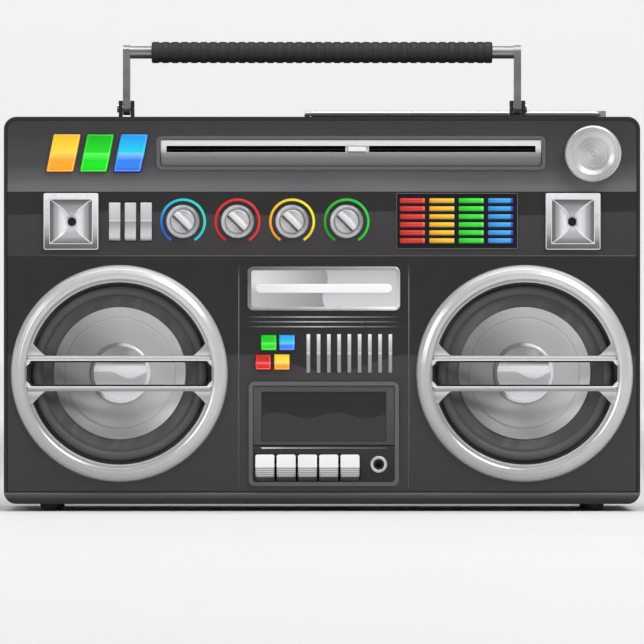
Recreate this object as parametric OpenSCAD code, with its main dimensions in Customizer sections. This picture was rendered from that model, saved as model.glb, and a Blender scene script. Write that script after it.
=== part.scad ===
// Portable stereo radio cassette player: a wide plastic case with two round guarded woofers,
// two horn tweeters, a cassette deck in the middle, a row of controls and a tuning scale.
// X runs along the width, -Y is the front, Z is up. The origin is under the middle of the case.

/* [Case] */
// Width of the case
case_w = 700; // [700:1:708]
// Height of the case, without feet and handle
case_h = 426; // [426:1:432]
// Depth of the front shell, from its rim to the joint with the rear shell
front_d = 75; // [75:1:78]
// Depth of the rear shell, from the joint to its back
rear_d = 106; // [106:1:116]
// Wall thickness of both shells
wall = 3.5; // [3.5:0.1:3.8]
// Radius of the four outer corners, seen from the front
corner_r = 14; // [12:1:18]
// Height of the feet
foot_h = 8; // [8:1:10]

/* [Woofers] */
// Distance of each woofer's axis from the middle of the case
woofer_x = 222.9; // [222:0.1:224]
// Height of the woofers' axes
woofer_z = 151.6; // [151:0.1:153]
// Outer radius of a guard ring
guard_out_r = 119.2; // [118:0.1:120]
// Inner radius of a guard ring
guard_in_r = 100.1; // [99.5:0.1:101]
// How far a guard ring stands out of the fascia
guard_h = 12.5; // [11:0.5:14]

/* [Control row] */
// Height of the row of knobs, rockers, horns and level meter
row_z = 318.8; // [318:0.1:320]
// Distance of each horn tweeter's axis from the middle of the case
horn_x = 276; // [275:0.5:278]
// Centre of the leftmost knob
knob_x0 = -152.9; // [-153.5:0.1:-152]
// Distance between neighbouring knobs
knob_pitch = 60; // [59.5:0.1:60.5]
// Radius of a knob's skirt
knob_r = 18.4; // [17:0.1:19]
// Width of one rocker switch
rocker_w = 12.3; // [11.5:0.1:12.5]

/* [Keys] */
// Width of a slanted function key
slant_w = 29.7; // [28:0.1:30.5]
// Height of a slanted function key
slant_h = 41.3; // [40:0.1:42]
// Side of a square push key
push_w = 17; // [16:0.1:17.2]
// Width of a cassette key
piano_w = 21; // [20:0.1:21.4]

/* [Handle and antenna] */
// Height of the grip's centre above the pivots
handle_rise = 62; // [60:1:75]
// Radius of the grip
grip_r = 12; // [11:0.5:12.5]
// Length of the antenna's outer tube
mast_len = 330; // [300:5:330]

/* [Hidden] */
$fn = 64;

// Running clearance of a shaft in its bore, on the radius
run = 0.06;

// Depths are measured backwards from the fascias' face, so proud features are negative
y_split = -10;
y_face = y_split - front_d + 0.5;
d_rim = -0.5;
d_wall = 3.5;
d_wall_in = d_wall + wall;
d_split = y_split - y_face;
d_back = d_split + rear_d;
d_back_in = d_back - wall;

// Heights of the case and its bands
z_base = foot_h;
z_top = z_base + case_h;
z_mid = (z_base + z_top) / 2;
band_z = z_base + 13.3;
seam_low_z = 281;
seam_high_z = 351.25;
fascia_gap = 0.5;

// The middle column is a little right of the case's centre
col_x = 2;

// Screws that join the shells
screw_spots = [for (s = [-1, 1]) for (p = [[332, 30], [332, 268], [332, 414], [104, 24]]) [s * p[0], p[1]]];
screw_boss_r = 7;
screw_r = 1.9;
screw_head_r = 3.9;
screw_seat_d = d_split + 8;

// Tuner: plate, slot, guide rod and knob
tuner_x = 31.9;
tuner_z = 394.1;
tuner_rim_w = 428.3;
tuner_rim_h = 37.4;
tuner_rim_t = 4.4;
slot_w = 406;
slot_h = 7;
slot_z = 398.5;
rod_r = 1.5;
rod_d = 11.5;
rod_x1 = -181;
rod_x2 = 245;
pointer_x = 38.8;
tuning_x = 297.6;
tuning_z = 393;
tuning_r = 31;
spindle_r = 3;

// Keys that slide straight in
key_proud = 5;
key_flange_d1 = 3.8;
key_flange_d2 = 6;
key_flange = 1.2;
key_stem_w = 8;
key_stem_d = 14.5;
slant_shift = 8.4;
slant_z = 373.2;
slant_xs = [-303.3, -266.4, -229.2];
push_spots = [[-58.5, 185.5], [-38.5, 185.5], [-64.6, 164], [-44.1, 164]];

// Rocker switches turn on short axles in ears behind the control fascia
rocker_x0 = -210.7;
rocker_pitch = 17.3;
rocker_r = 21.4;
rocker_d = 5.5;
axle_r = 1.6;
rocker_hole_w = rocker_w + 0.8;
rocker_hole_h = 44;

// Level meter
meter_x = 148.6;
meter_z = 319.3;
meter_w = 132.8;
meter_h = 60.7;
bar_w = 27.5;
bar_h = 5.8;
bar_x0 = 85.7;
bar_pitch_x = 32.3;
bar_top_z = 344.3;
bar_pitch_z = 8.8;
bar_cols = 4;
bar_rows = 6;

// Horn tweeters
horn_w = 60;
horn_h = 62;
horn_mouth_w = 47;
horn_mouth_h = 49;

// Woofer guard rails, measured from the woofer's axis
rail_in = 12.2;
rail_out = 19.6;

// Display, inlays and cassette deck
display_z = 245;
deck_z = 85.2;
deck_w = 165;
deck_h = 114.7;
door_half = 77.8;
door_top = 137.5;
door_axis_d = 0.5;
door_axis_z = 74.3;
door_pin_r = 1.2;
well_half = 53.2;
reel_half = 21.25;
reel_z = 106.8;
capstan = [36, 79];
motor = [-43, 90];
flywheel_r = 30;
pulley_r = 6;
piano_xs = [for (i = [0:4]) -62.8 + 23.4 * i];
piano_axis_d = 24.5;
piano_axis_z = 50;
jack = [62.4, 51.7];
jack_bore_r = 3.25;

// Battery bay and sockets in the rear shell
bay_z = 92;
bay_w = 264;
bay_h = 74;
bay_depth = 37.5;
bay_wall = 2.5;
door_w = 276;
door_h = 84;
inlet = [240, 60];
dc_in = [205, 60];
dc_bore_r = 2.75;

// Carrying handle
handle_x = 218;
handle_y = 4;
handle_z = z_top + 13;
arm_w = 8;
arm_d = 16;
ear_gap = 0.6;
ear_t = 4;
handle_pin_r = 3;
tube_r = 7;
grip_half = 190;

// Telescopic antenna
ant_x = 318;
ant_y = 88;
ant_z = z_top + 9.5;
ant_boss_h = 3;
knuckle_r = 7;
knuckle_pin_r = 2.5;
mast_r = 3.5;
eye_r = 3.1;
eye_t = 5.8;
mast_bore_r = 2.6;
mast_inner_r = 2.5;
mast_inner_len = 312;
tilt_pin_r = 1.5;

// Points of an arc about [cx, cy], from angle a0 to a1
function arc_pts(cx, cy, r, a0, a1, n = 8) =
    [for (i = [0:n]) [cx + r * cos(a0 + (a1 - a0) * i / n), cy + r * sin(a0 + (a1 - a0) * i / n)]];

// Points of a rectangle with rounded corners, centred
function rrect_pts(w, h, r) = concat(
    arc_pts(w / 2 - r, h / 2 - r, r, 0, 90),
    arc_pts(r - w / 2, h / 2 - r, r, 90, 180),
    arc_pts(r - w / 2, r - h / 2, r, 180, 270),
    arc_pts(w / 2 - r, r - h / 2, r, 270, 360));

module rrect(w, h, r) polygon(rrect_pts(w, h, r));

// Rectangle between two places across and two places up
module span(x1, x2, z1, z2) translate([x1, z1]) square([x2 - x1, z2 - z1]);

// Extrudes a shape drawn in X and Z between two depths
module slab(d1, d2) translate([0, y_face + d2, 0]) rotate([90, 0, 0]) linear_extrude(d2 - d1) children();

// Extrudes a shape drawn in depth and Z between two places across
module across(x1, x2) translate([x1, y_face, 0]) rotate([90, 0, 90]) linear_extrude(x2 - x1) children();

module at(x, z) translate([x, 0, z]) children();

// Round bar along Y, between two depths
module rod(r, d1, d2) translate([0, y_face + d2, 0]) rotate([90, 0, 0]) cylinder(h = d2 - d1, r = r);

// Round bar along X, at a depth and a height
module bar(r, x1, x2, d, z) translate([x1, y_face + d, z]) rotate([0, 90, 0]) cylinder(h = x2 - x1, r = r);

// Turns a profile of [radius, distance out of the fascia] about the Y axis
module lathe() translate([0, y_face, 0]) rotate([90, 0, 0]) rotate_extrude() children();

// Front outline of the case, drawn in by an inset
module outline(inset = 0)
    translate([0, z_mid]) rrect(case_w - 2 * inset, case_h - 2 * inset, corner_r - inset);

module fascia_shape(z1, z2) intersection() {
    outline(wall + fascia_gap);
    span(-case_w, case_w, z1, z2);
}

// Slanted key face, grown on every side
module slant_shape(grow = 0) polygon([
    [-grow, -grow], [slant_w + grow, -grow],
    [slant_w + slant_shift + grow, slant_h + grow], [slant_shift - grow, slant_h + grow]]);

module square_shape(w) square([w, w], center = true);

// ---- Case ----

module wall_openings() {
    for (s = [-1, 1]) {
        translate([s * woofer_x, woofer_z]) circle(r = 99);
        translate([s * horn_x, row_z]) square([51, 53], center = true);
    }
    translate([rocker_x0, row_z]) square([62, 52], center = true);
    for (i = [0:3]) translate([knob_x0 + i * knob_pitch, row_z]) circle(r = 8);
    translate([meter_x, meter_z]) square([126, 54], center = true);
    span(-310, -185, 368, 420);
    translate([tuner_x, slot_z]) square([414, 22], center = true);
    span(-80, -25, 150, 200);
    translate([col_x, deck_z]) rrect(168, 116, 5);
}

module front_cabinet() color("#303134") difference() {
    union() {
        difference() {
            slab(d_rim, d_split) outline();
            slab(d_rim - 1, d_wall) intersection() {
                outline(wall);
                span(-case_w, case_w, band_z, z_top);
            }
            slab(d_wall_in, d_split + 1) outline(wall);
            slab(d_wall - 1, d_wall_in + 1) wall_openings();
        }
        base_moulding();
        for (p = screw_spots) at(p[0], p[1]) rod(screw_boss_r, d_wall_in - 0.5, d_split);
        at(tuning_x, tuning_z) rod(7, d_wall_in - 0.5, 9.5);
        for (x = [rod_x1, rod_x2 - 4])
            slab(d_wall_in - 0.5, 15) span(x, x + 4, slot_z - 4, slot_z + 4);
        board_posts();
    }
    for (p = screw_spots) at(p[0], p[1]) rod(screw_r + 0.02, d_split - 24, d_split + 1);
    at(tuning_x, tuning_z) rod(spindle_r + run, d_wall - 1, 10);
    bar(rod_r + 0.02, rod_x1 - 1, rod_x2 + 1, rod_d, slot_z);
}

// Rounded ledge that runs along the foot of the front
module base_moulding() intersection() {
    slab(-4, d_wall) outline();
    across(-case_w / 2, case_w / 2)
        translate([0.5, z_base + 6.4]) rrect(7.8, 12.8, 3);
}

module board_posts() {
    for (p = [[-172, 341], [50, 341], [-172, 298], [50, 298]]) at(p[0], p[1]) rod(3, d_wall_in - 0.5, 24.5);
    for (p = [[-317, 372], [-317, 412], [-180, 372], [-84, 203], [-21, 203], [-84, 147]])
        at(p[0], p[1]) rod(3, d_wall_in - 0.5, 20.5);
}

module rear_cabinet() color("#2a2b2d") difference() {
    union() {
        difference() {
            slab(d_split, d_back) outline();
            slab(d_split - 1, d_back_in) outline(wall);
        }
        for (p = screw_spots) at(p[0], p[1]) rod(screw_boss_r, d_split, d_back_in + 0.5);
        slab(d_back_in - bay_depth - bay_wall, d_back_in + 0.5)
            translate([0, bay_z]) rrect(bay_w + 2 * bay_wall, bay_h + 2 * bay_wall, 3);
        slab(d_back_in - 3.5, d_back_in + 0.5) translate([0, bay_z]) rrect(door_w + 8, door_h + 8, 4);
        slab(d_back_in - 16, d_back_in + 0.5) translate(inlet) rrect(30, 20, 3);
        at(dc_in[0], dc_in[1]) rod(6, d_back_in - 9, d_back_in + 0.5);
        translate([ant_x, ant_y, z_top - wall - 2]) cylinder(h = wall + 2 + ant_boss_h, r = 7.5);
        translate([-5 - 4, ant_y - 3, z_top - 1]) cube([8, 6, ant_z - mast_r - 0.5 - z_top + 1]);
        for (s = [-1, 1]) handle_bracket(s * handle_x);
        for (x = [-105, 105]) for (z = [185, 285]) at(x, z) rod(3, 106.1, d_back_in + 0.5);
    }
    for (p = screw_spots) at(p[0], p[1]) {
        rod(screw_head_r + 0.5, screw_seat_d, d_back + 1);
        rod(screw_r + 0.3, d_split - 1, screw_seat_d + 1);
    }
    slab(d_back_in - bay_depth, d_back + 1) translate([0, bay_z]) square([bay_w, bay_h], center = true);
    slab(d_back - 3, d_back + 1) translate([0, bay_z]) rrect(door_w + 2, door_h + 2, 3);
    slab(d_back - 16, d_back + 1) translate(inlet) rrect(20, 11, 5);
    at(dc_in[0], dc_in[1]) rod(dc_bore_r, d_back - 9, d_back + 1);
    translate([ant_x, ant_y, z_top - wall - 3]) cylinder(h = wall + ant_boss_h + 4, r = knuckle_pin_r + run);
    slab(d_back_in - 1, d_back + 1) for (s = [-1, 1]) for (i = [0:6])
        translate([s * 150, 210 + 9 * i]) square([90, 3.4], center = true);
}

// Pair of ears that carry one end of the handle
module handle_bracket(x) for (s = [-1, 1]) difference() {
    translate([x + s * (arm_w / 2 + ear_gap + ear_t / 2), handle_y, (z_top - 1 + handle_z + 8) / 2])
        cube([ear_t, arm_d, handle_z + 8 - z_top + 1], center = true);
    translate([x - 12, handle_y, handle_z]) rotate([0, 90, 0]) cylinder(h = 24, r = handle_pin_r + 0.03);
}

module upper_fascia() color("#6e7074") difference() {
    union() {
        slab(0, d_wall) fascia_shape(seam_high_z + 0.25, z_top - wall - fascia_gap);
        slab(-1.6, 1) translate([tuner_x, tuner_z]) rrect(tuner_rim_w, tuner_rim_h, 6.6);
    }
    slab(-3, d_wall + 1) {
        for (x = slant_xs) translate([x, slant_z]) slant_shape(0.5);
        translate([tuner_x, tuner_z]) rrect(tuner_rim_w - 2 * tuner_rim_t + 0.5, tuner_rim_h - 7.8, 3);
        translate([tuning_x, tuning_z]) circle(r = 4);
    }
}

module control_fascia() color("#1d1d1f") {
    difference() {
        slab(0, d_wall) fascia_shape(seam_low_z + 0.2, seam_high_z - 0.25);
        slab(-1, d_wall + 1) {
            for (i = [-1:1]) translate([rocker_x0 + i * rocker_pitch, row_z])
                square([rocker_hole_w, rocker_hole_h], center = true);
            for (i = [0:3]) translate([knob_x0 + i * knob_pitch, row_z]) circle(r = 4);
            for (s = [-1, 1]) translate([s * horn_x, row_z])
                square([horn_mouth_w, horn_mouth_h], center = true);
        }
    }
    difference() {
        for (i = [-1.5:1.5]) slab(d_wall - 0.5, 10.5)
            translate([rocker_x0 + i * rocker_pitch, row_z]) square([3.6, 10], center = true);
        bar(axle_r + run, rocker_x0 - 40, rocker_x0 + 40, rocker_d, row_z);
    }
}

module lower_fascia() color("#1a1a1c") difference() {
    slab(0, d_wall) fascia_shape(band_z + 0.3, seam_low_z - 0.2);
    slab(-1, d_wall + 1) {
        for (s = [-1, 1]) translate([s * woofer_x, woofer_z]) circle(r = guard_in_r + 0.9);
        for (p = push_spots) translate(p) square_shape(push_w + 0.8);
        translate([col_x, deck_z]) rrect(160.4, 110.4, 5);
    }
    slab(-1, 0.8) for (s = [-1, 1]) translate([col_x + s * 93.5, 148.7]) square([1, 250.6], center = true);
}

module battery_door() color("#2c2d30") {
    difference() {
        slab(d_back - 2.7, d_back) translate([0, bay_z]) rrect(door_w, door_h, 2.5);
        slab(d_back - 1.2, d_back + 1) translate([0, bay_z + door_h / 2 - 8]) rrect(40, 8, 3.5);
    }
}

module rubber_feet() color("#151515") {
    for (x = [-300, 300]) {
        for (y = [-60, 60]) translate([x, y, 0]) {
            cylinder(h = foot_h - 3, r1 = 9.5, r2 = 11);
            translate([0, 0, foot_h - 3]) cylinder(h = 3, r = 11);
        }
        for (z = [60, 380]) at(x, z) rod(10, d_back, d_back + 6);
    }
}

module fasteners() color("#9a9da2") {
    for (p = screw_spots) at(p[0], p[1]) {
        rod(screw_r, d_split - 22, screw_seat_d);
        difference() {
            rod(screw_head_r, screw_seat_d, screw_seat_d + 2.6);
            slab(screw_seat_d + 1.2, screw_seat_d + 4) {
                square([5, 1], center = true);
                square([1, 5], center = true);
            }
        }
    }
    ear_out = arm_w / 2 + ear_gap + ear_t;
    for (s = [-1, 1]) translate([s * handle_x, handle_y, handle_z]) rotate([0, 90, 0]) {
        translate([0, 0, -ear_out]) cylinder(h = 2 * ear_out, r = handle_pin_r);
        translate([0, 0, s > 0 ? ear_out : -ear_out - 2]) cylinder(h = 2, r = 5);
    }
}

// ---- Tuner ----

module tuner_plate() color("#c9ccd0") {
    plate_w = tuner_rim_w - 2 * tuner_rim_t - 0.5;
    z1 = tuner_z - 14.3;
    z2 = tuner_z + 14.3;
    difference() {
        across(tuner_x - plate_w / 2, tuner_x + plate_w / 2)
            polygon([[d_wall, z1], [2.4, z1], [0.5, slot_z - slot_h / 2 - 0.6], [0.5, z2], [d_wall, z2]]);
        slab(-1, d_wall + 1) translate([tuner_x, slot_z]) square([slot_w, slot_h], center = true);
    }
    bar(rod_r, rod_x1, rod_x2, rod_d, slot_z);
}

module tuner_pointer() color("#e8e8ea") difference() {
    union() {
        slab(-1.8, 4.3) translate([pointer_x, slot_z]) square([19.4, 5.5], center = true);
        slab(4.3, 14.5) translate([pointer_x, slot_z]) square([26, 16], center = true);
    }
    bar(rod_r + run, pointer_x - 20, pointer_x + 20, rod_d, slot_z);
}

module tuning_knob() color("#c4c6ca") at(tuning_x, tuning_z) {
    lathe() polygon(concat(
        [[0, 1.5], [tuning_r, 1.5]], arc_pts(tuning_r - 2, 15.5, 2, 0, 90),
        [[tuning_r - 8, 17.5], [tuning_r - 10, 16.6], [0, 16.6]]));
    rod(spindle_r, -1.5, 18.5);
    rod(12, 10.5, 16.5);
}

// ---- Keys that slide in ----

module function_key(i, shade) color(shade) {
    stem = slant_w / 2 + slant_shift / 2 - key_stem_w / 2;
    translate([slant_xs[i], 0, slant_z]) {
        slab(-key_proud, key_flange_d1) slant_shape();
        slab(key_flange_d1, key_flange_d2) slant_shape(key_flange);
        slab(key_flange_d2, key_stem_d)
            translate([stem, slant_h / 2 - key_stem_w / 2]) square(key_stem_w);
    }
}

module push_key(i, shade) color(shade) at(push_spots[i][0], push_spots[i][1]) {
    slab(-key_proud, key_flange_d1) square_shape(push_w);
    slab(key_flange_d1, key_flange_d2) square_shape(push_w + 2 * key_flange);
    slab(key_flange_d2, key_stem_d) square_shape(key_stem_w);
}

// ---- Control row ----

module rocker(i) color("#cfd1d4") {
    x = rocker_x0 + i * rocker_pitch;
    at(0, row_z) {
        across(x - rocker_w / 2, x + rocker_w / 2) intersection() {
            translate([rocker_d, 0]) circle(r = rocker_r);
            polygon([[-1.5, 25], [-1.5, 0], [-7.7, -25], [8.5, -25], [8.5, 25]]);
        }
        bar(axle_r, x - rocker_pitch / 2 + 0.25, x + rocker_pitch / 2 - 0.25, rocker_d, 0);
    }
}

module knob(i) color("#c8cace") at(knob_x0 + i * knob_pitch, row_z) {
    lathe() polygon(concat(
        [[0, 0.7], [knob_r, 0.7], [knob_r, 4.5]], arc_pts(knob_r - 2.5, 4.5, 2.5, 0, 90),
        [[13.6, 7], [13, 7.6]], arc_pts(11.8, 10.3, 1.2, 0, 90), [[0, 11.5]]));
    intersection() {
        slab(-16, -11) rotate(-45) square([28, 6], center = true);
        rod(12.8, -16, -11);
    }
    rod(spindle_r, -1, 22);
}

module knob_scales() for (i = [0:3]) color(["#23b5e8", "#e02626", "#f3d11f", "#22b83c"][i])
    at(knob_x0 + i * knob_pitch, row_z) slab(-0.6, 0)
        polygon(concat(arc_pts(0, 0, 25.3, -58, 238, 48), arc_pts(0, 0, 22.5, 238, -58, 48)));

module meter_window() color("#101012")
    slab(-1.5, 0) translate([meter_x, meter_z]) rrect(meter_w, meter_h, 1.2);

module meter_segments() for (c = [0:bar_cols - 1]) for (r = [0:bar_rows - 1])
    color(["#e33030", "#f5b62d", "#3ddc3d", "#3b9df0"][c])
        slab(-2.7, -1.5) translate([bar_x0 + c * bar_pitch_x + bar_w / 2, bar_top_z - bar_h / 2 - r * bar_pitch_z])
            square([bar_w, bar_h], center = true);

// Four-sided tapering block between two depths, used to hollow out a horn
module taper(w1, h1, d1, w2, h2, d2) {
    corners = [[-1, -1], [1, -1], [1, 1], [-1, 1]];
    translate([0, y_face, 0]) polyhedron(
        points = concat([for (c = corners) [c[0] * w1 / 2, d1, c[1] * h1 / 2]],
                        [for (c = corners) [c[0] * w2 / 2, d2, c[1] * h2 / 2]]),
        faces = [[3, 2, 1, 0], [4, 5, 6, 7], [1, 5, 4, 0], [2, 6, 5, 1], [3, 7, 6, 2], [0, 4, 7, 3]]);
}

module horn(s) color("#b9bcc0") at(s * horn_x, row_z) {
    difference() {
        union() {
            slab(-5, 0) rrect(horn_w, horn_h, 2);
            slab(0, 26.5) square([horn_mouth_w - 1, horn_mouth_h - 1], center = true);
        }
        taper(horn_mouth_w, horn_mouth_h, -5.01, 42, 44, -2);
        taper(42, 44, -2.01, 17, 18, 12);
        taper(17, 18, 11.99, 8, 8, 22);
    }
    rod(20, 26.5, 44.5);
}

// ---- Woofers ----

module woofer_guard(s) color("#c6c8cb") at(s * woofer_x, woofer_z) {
    ring_w = guard_out_r - guard_in_r;
    lathe() polygon(concat(
        [[guard_in_r, 0]],
        arc_pts(guard_in_r + ring_w / 2, guard_h - ring_w / 2, ring_w / 2, 180, 0, 14),
        [[guard_out_r, 0]]));
    slab(-8.5, -2.5) intersection() {
        circle(r = guard_in_r + 3);
        for (a = [-1, 1]) {
            translate([0, a * (rail_in + rail_out) / 2])
                square([2 * guard_out_r, rail_out - rail_in], center = true);
            for (b = [-1, 1]) {
                polygon([[b * 79.9, a * rail_out], [b * 94.6, a * 31.7], [b * 104, a * 31.7], [b * 104, a * rail_out]]);
                polygon([[b * 95.3, a * rail_in], [b * 99.6, a * 8.5], [b * 104, a * 8.5], [b * 104, a * rail_in]]);
            }
        }
    }
}

module woofer_frames() color("#7b7e83") for (s = [-1, 1]) at(s * woofer_x, woofer_z) {
    lathe() polygon([
        [96, -7.5], [108, -7.5], [108, -10], [101, -10], [62, -43], [62, -48.5], [22, -48.5], [22, -46],
        [52, -46], [52, -41.5], [60, -41.5], [96, -10]]);
    difference() {
        rod(45, 48.5, 70.5);
        translate([0, y_face, 0]) rotate([90, 0, 0]) translate([0, 0, -63])
            difference() {
                cylinder(h = 15, r = 21);
                translate([0, 0, -1]) cylinder(h = 17, r = 16.5);
            }
    }
}

cone_front = [[84.9, -7.8], [73.3, -11], [72.5, -9.5], [61.4, -15], [60.5, -15.9], [35, -28], [19.4, -34.5]];
cone_t = 1.4;
cap_r = 32.7;
cap_rise = 9;

module woofer_cone(s) color("#a9acb0") at(s * woofer_x, woofer_z) {
    back = [for (i = [len(cone_front) - 1:-1:0]) cone_front[i] - [0, cone_t]];
    lathe() polygon(concat(cone_front, [[18, -34.5], [18, -36]], back));
    sphere_r = (cap_r * cap_r + cap_rise * cap_rise) / (2 * cap_rise);
    edge = acos(cap_r / sphere_r);
    lathe() polygon(concat(
        arc_pts(0, -28.5 + cap_rise - sphere_r, sphere_r, edge, 90, 10),
        arc_pts(0, -28.5 + cap_rise - sphere_r, sphere_r - 1.5, 90, edge, 10)));
    lathe() polygon([[18, -35], [19.4, -35], [19.4, -52], [18, -52]]);
}

module woofer_surrounds() color("#232325") for (s = [-1, 1]) at(s * woofer_x, woofer_z) {
    lathe() {
        polygon(concat(arc_pts(91.5, -7.5, 6, 0, 180, 12), arc_pts(91.5, -7.5, 5.2, 180, 0, 12)));
        polygon([[97, -7.5], [106, -7.5], [106, -7], [97, -7]]);
        polygon([[83.8, -7.4], [86.2, -7.4], [86.2, -6.8], [83.8, -6.8]]);
    }
    lathe() polygon([[19.9, -41.5], [59, -41.5], [59, -40.5], [19.9, -40.5]]);
}

// ---- Middle column ----

module display_frame() color("#c3c5c9") difference() {
    slab(-3.5, 0) translate([col_x, display_z]) rrect(168, 48.6, 6.6);
    slab(-4, -1.5) translate([col_x, display_z]) rrect(159, 39.6, 3);
}

module display_light() color("#f7f7f7") slab(-2.5, -1.5) translate([col_x, display_z]) rrect(150, 10, 4.9);

module silver_inlays() color("#d0d2d5") {
    for (z = [213.7, 208.4, 203]) slab(-0.6, 0) translate([col_x, z]) square([176, 1.2], center = true);
    for (i = [0:8]) slab(-0.8, 0) translate([-15 + 11.27 * i, 173.6]) square([4.3, 42.4], center = true);
    slab(-2.2, -1.5) translate([col_x, 69.6]) square([137, 1.4], center = true);
}

module deck_bezel() color("#5a5b5e") difference() {
    union() {
        slab(-3, 0) translate([col_x, deck_z]) rrect(deck_w, deck_h, 6.6);
        slab(-0.5, 3) translate([col_x, deck_z]) rrect(159.6, 109.6, 5);
    }
    slab(-4, -1.5) translate([col_x, deck_z]) rrect(156.2, 105.9, 4);
    slab(-4, 4) {
        span(col_x - 78.1, col_x + 78.1, 71.9, 138.1);
        span(-74, 42, 33, 63.2);
        translate(jack) circle(r = 6);
    }
    bar(door_pin_r + run, col_x - 79.65, col_x + 79.65, door_axis_d, door_axis_z);
}

module cassette_door() color("#4b4c4f") {
    difference() {
        slab(-1.5, 2.5) span(col_x - door_half, col_x + door_half, door_axis_z, door_top);
        slab(-3, 4) span(col_x - 68.6, col_x + 68.6, 77, 131.5);
    }
    bar(2, col_x - door_half, col_x + door_half, door_axis_d, door_axis_z);
    bar(door_pin_r, col_x - 79.5, col_x + 79.5, door_axis_d, door_axis_z);
    for (s = [-1, 1]) {
        slab(2.4, 16.5) translate([col_x + s * (well_half - 1.25), 102.15]) square([2.5, 59.7], center = true);
        slab(3, 16.5) {
            translate([col_x + s * (well_half - 1.25), 72]) square([2.5, 3], center = true);
            translate([col_x + s * 45.6, 71.25]) square([15.2, 1.5], center = true);
        }
        slab(15.3, 16.5) translate([col_x + s * 49, 104]) square([4, 56], center = true);
    }
}

module door_window() color("#151517")
    slab(-0.5, 1.1) translate([col_x, 104.25]) square([137, 54.3], center = true);

module piano_key(i) color("#e9eaec") {
    x = piano_xs[i];
    difference() {
        union() {
            across(x - piano_w / 2, x + piano_w / 2)
                polygon([[-8.5, 37.7], [-8.5, 47.6], [-4, 62.5], [4.5, 62.5], [4.5, 37.7]]);
            across(x - 4, x + 4) {
                polygon([[4.4, 45], [piano_axis_d, 46.5], [piano_axis_d, 53.5], [4.4, 55]]);
                translate([piano_axis_d, piano_axis_z]) circle(r = 3.5);
            }
        }
        bar(rod_r + run, x - 5, x + 5, piano_axis_d, piano_axis_z);
    }
}

module headphone_jack() color("#d6d8da") at(jack[0], jack[1]) difference() {
    union() {
        rod(9.2, -4, -1.5);
        rod(5.8, -3.1, 22.5);
    }
    rod(5.8, -5, -3.1);
    rod(jack_bore_r, -5, 18.5);
}

// ---- Tape transport ----

module deck_chassis() color("#85898e") {
    difference() {
        union() {
            slab(18.5, 20.5) span(-60, 64, 59.5, 144.5);
            slab(7.3, 19) {
                span(-60, -58, 59.5, 144.5);
                span(62, 64, 59.5, 144.5);
                span(-60, 64, 142.5, 144.5);
                span(-78, 64, 59.5, 61.5);
            }
            slab(d_wall_in, 9) {
                span(-60, 64, 142.5, 152);
                span(-83, -77, 22, 61.5);
                span(47, 54, 22, 61.5);
            }
            at(capstan[0], capstan[1]) rod(4, 14, 19);
        }
        for (s = [-1, 1]) at(col_x + s * reel_half, reel_z) rod(spindle_r + run, 10, 21);
        at(capstan[0], capstan[1]) rod(door_pin_r + run, 10, 21);
    }
    slab(8.5, 18.5) span(col_x - 6, col_x + 6, 61.5, 70.5);
    at(capstan[0], 66.6) {
        rod(4.6, 10, 17);
        rod(1.5, 16, 18.5);
    }
    for (x = [-78, 43]) across(x, x + 3)
        polygon([[14, 45], [27.5, 45], [27.5, 59.5], [14, 59.5]]);
    bar(rod_r, -78, 46, piano_axis_d, piano_axis_z);
    at(motor[0], motor[1]) {
        rod(15, 20.5, 27);
        rod(1, 26, 30);
        rod(pulley_r, 29, 34);
    }
}

module reel_spindle(s) color("#2d2e30") at(col_x + s * reel_half, reel_z) {
    rod(3.2, 9.5, 18.2);
    for (a = [0:60:300]) slab(10.5, 18.2) rotate(a) translate([3.6, 0]) square([2.4, 1.2], center = true);
    rod(spindle_r, 18, 23.5);
    rod(12, 20.8, 23.5);
}

module capstan_flywheel() color("#a7a08c") at(capstan[0], capstan[1]) {
    rod(door_pin_r, 9.5, 34.5);
    difference() {
        rod(flywheel_r, 28.5, 34.5);
        slab(30, 33) difference() {
            circle(r = flywheel_r + 1);
            circle(r = flywheel_r - 1.5);
        }
    }
}

module drive_belt() color("#1b1b1b") slab(30.3, 32.7) difference() {
    belt_loop(1.5);
    belt_loop(0.4);
}

module belt_loop(grow) hull() {
    translate(capstan) circle(r = flywheel_r + grow);
    translate(motor) circle(r = pulley_r + grow);
}

// ---- Handle and antenna ----

module handle_frame() color("#8f9296") difference() {
    union() {
        for (s = [-1, 1]) translate([s * handle_x - arm_w / 2, handle_y, 0]) rotate([90, 0, 90])
            linear_extrude(arm_w) translate([0, handle_z + handle_rise / 2])
                rrect(arm_d, handle_rise + arm_d, arm_d / 2 - 0.1);
        translate([-handle_x, handle_y, handle_z + handle_rise]) rotate([0, 90, 0])
            cylinder(h = 2 * handle_x, r = tube_r);
    }
    translate([-handle_x - 10, handle_y, handle_z]) rotate([0, 90, 0])
        cylinder(h = 2 * handle_x + 20, r = handle_pin_r + run);
}

module handle_grip() color("#1e1e20") difference() {
    translate([-grip_half, handle_y, handle_z + handle_rise]) rotate([0, 90, 0])
        cylinder(h = 2 * grip_half, r = grip_r);
    translate([-grip_half - 1, handle_y, handle_z + handle_rise]) rotate([0, 90, 0])
        cylinder(h = 2 * grip_half + 2, r = tube_r + 0.02);
}

module antenna_knuckle() color("#b4b7bb") {
    base_z = z_top + ant_boss_h + 0.2;
    translate([ant_x, ant_y, base_z]) cylinder(h = 1.8, r = knuckle_r);
    translate([ant_x, ant_y, z_top - wall - 2.5]) cylinder(h = base_z - z_top + wall + 3, r = knuckle_pin_r);
    for (s = [-1, 1]) translate([ant_x - 3, ant_y + s * 4.95 - 1.25, base_z + 1]) cube([6, 2.5, 8.8]);
    translate([ant_x, ant_y + 6.2, ant_z]) rotate([90, 0, 0]) cylinder(h = 12.4, r = tilt_pin_r);
}

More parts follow.
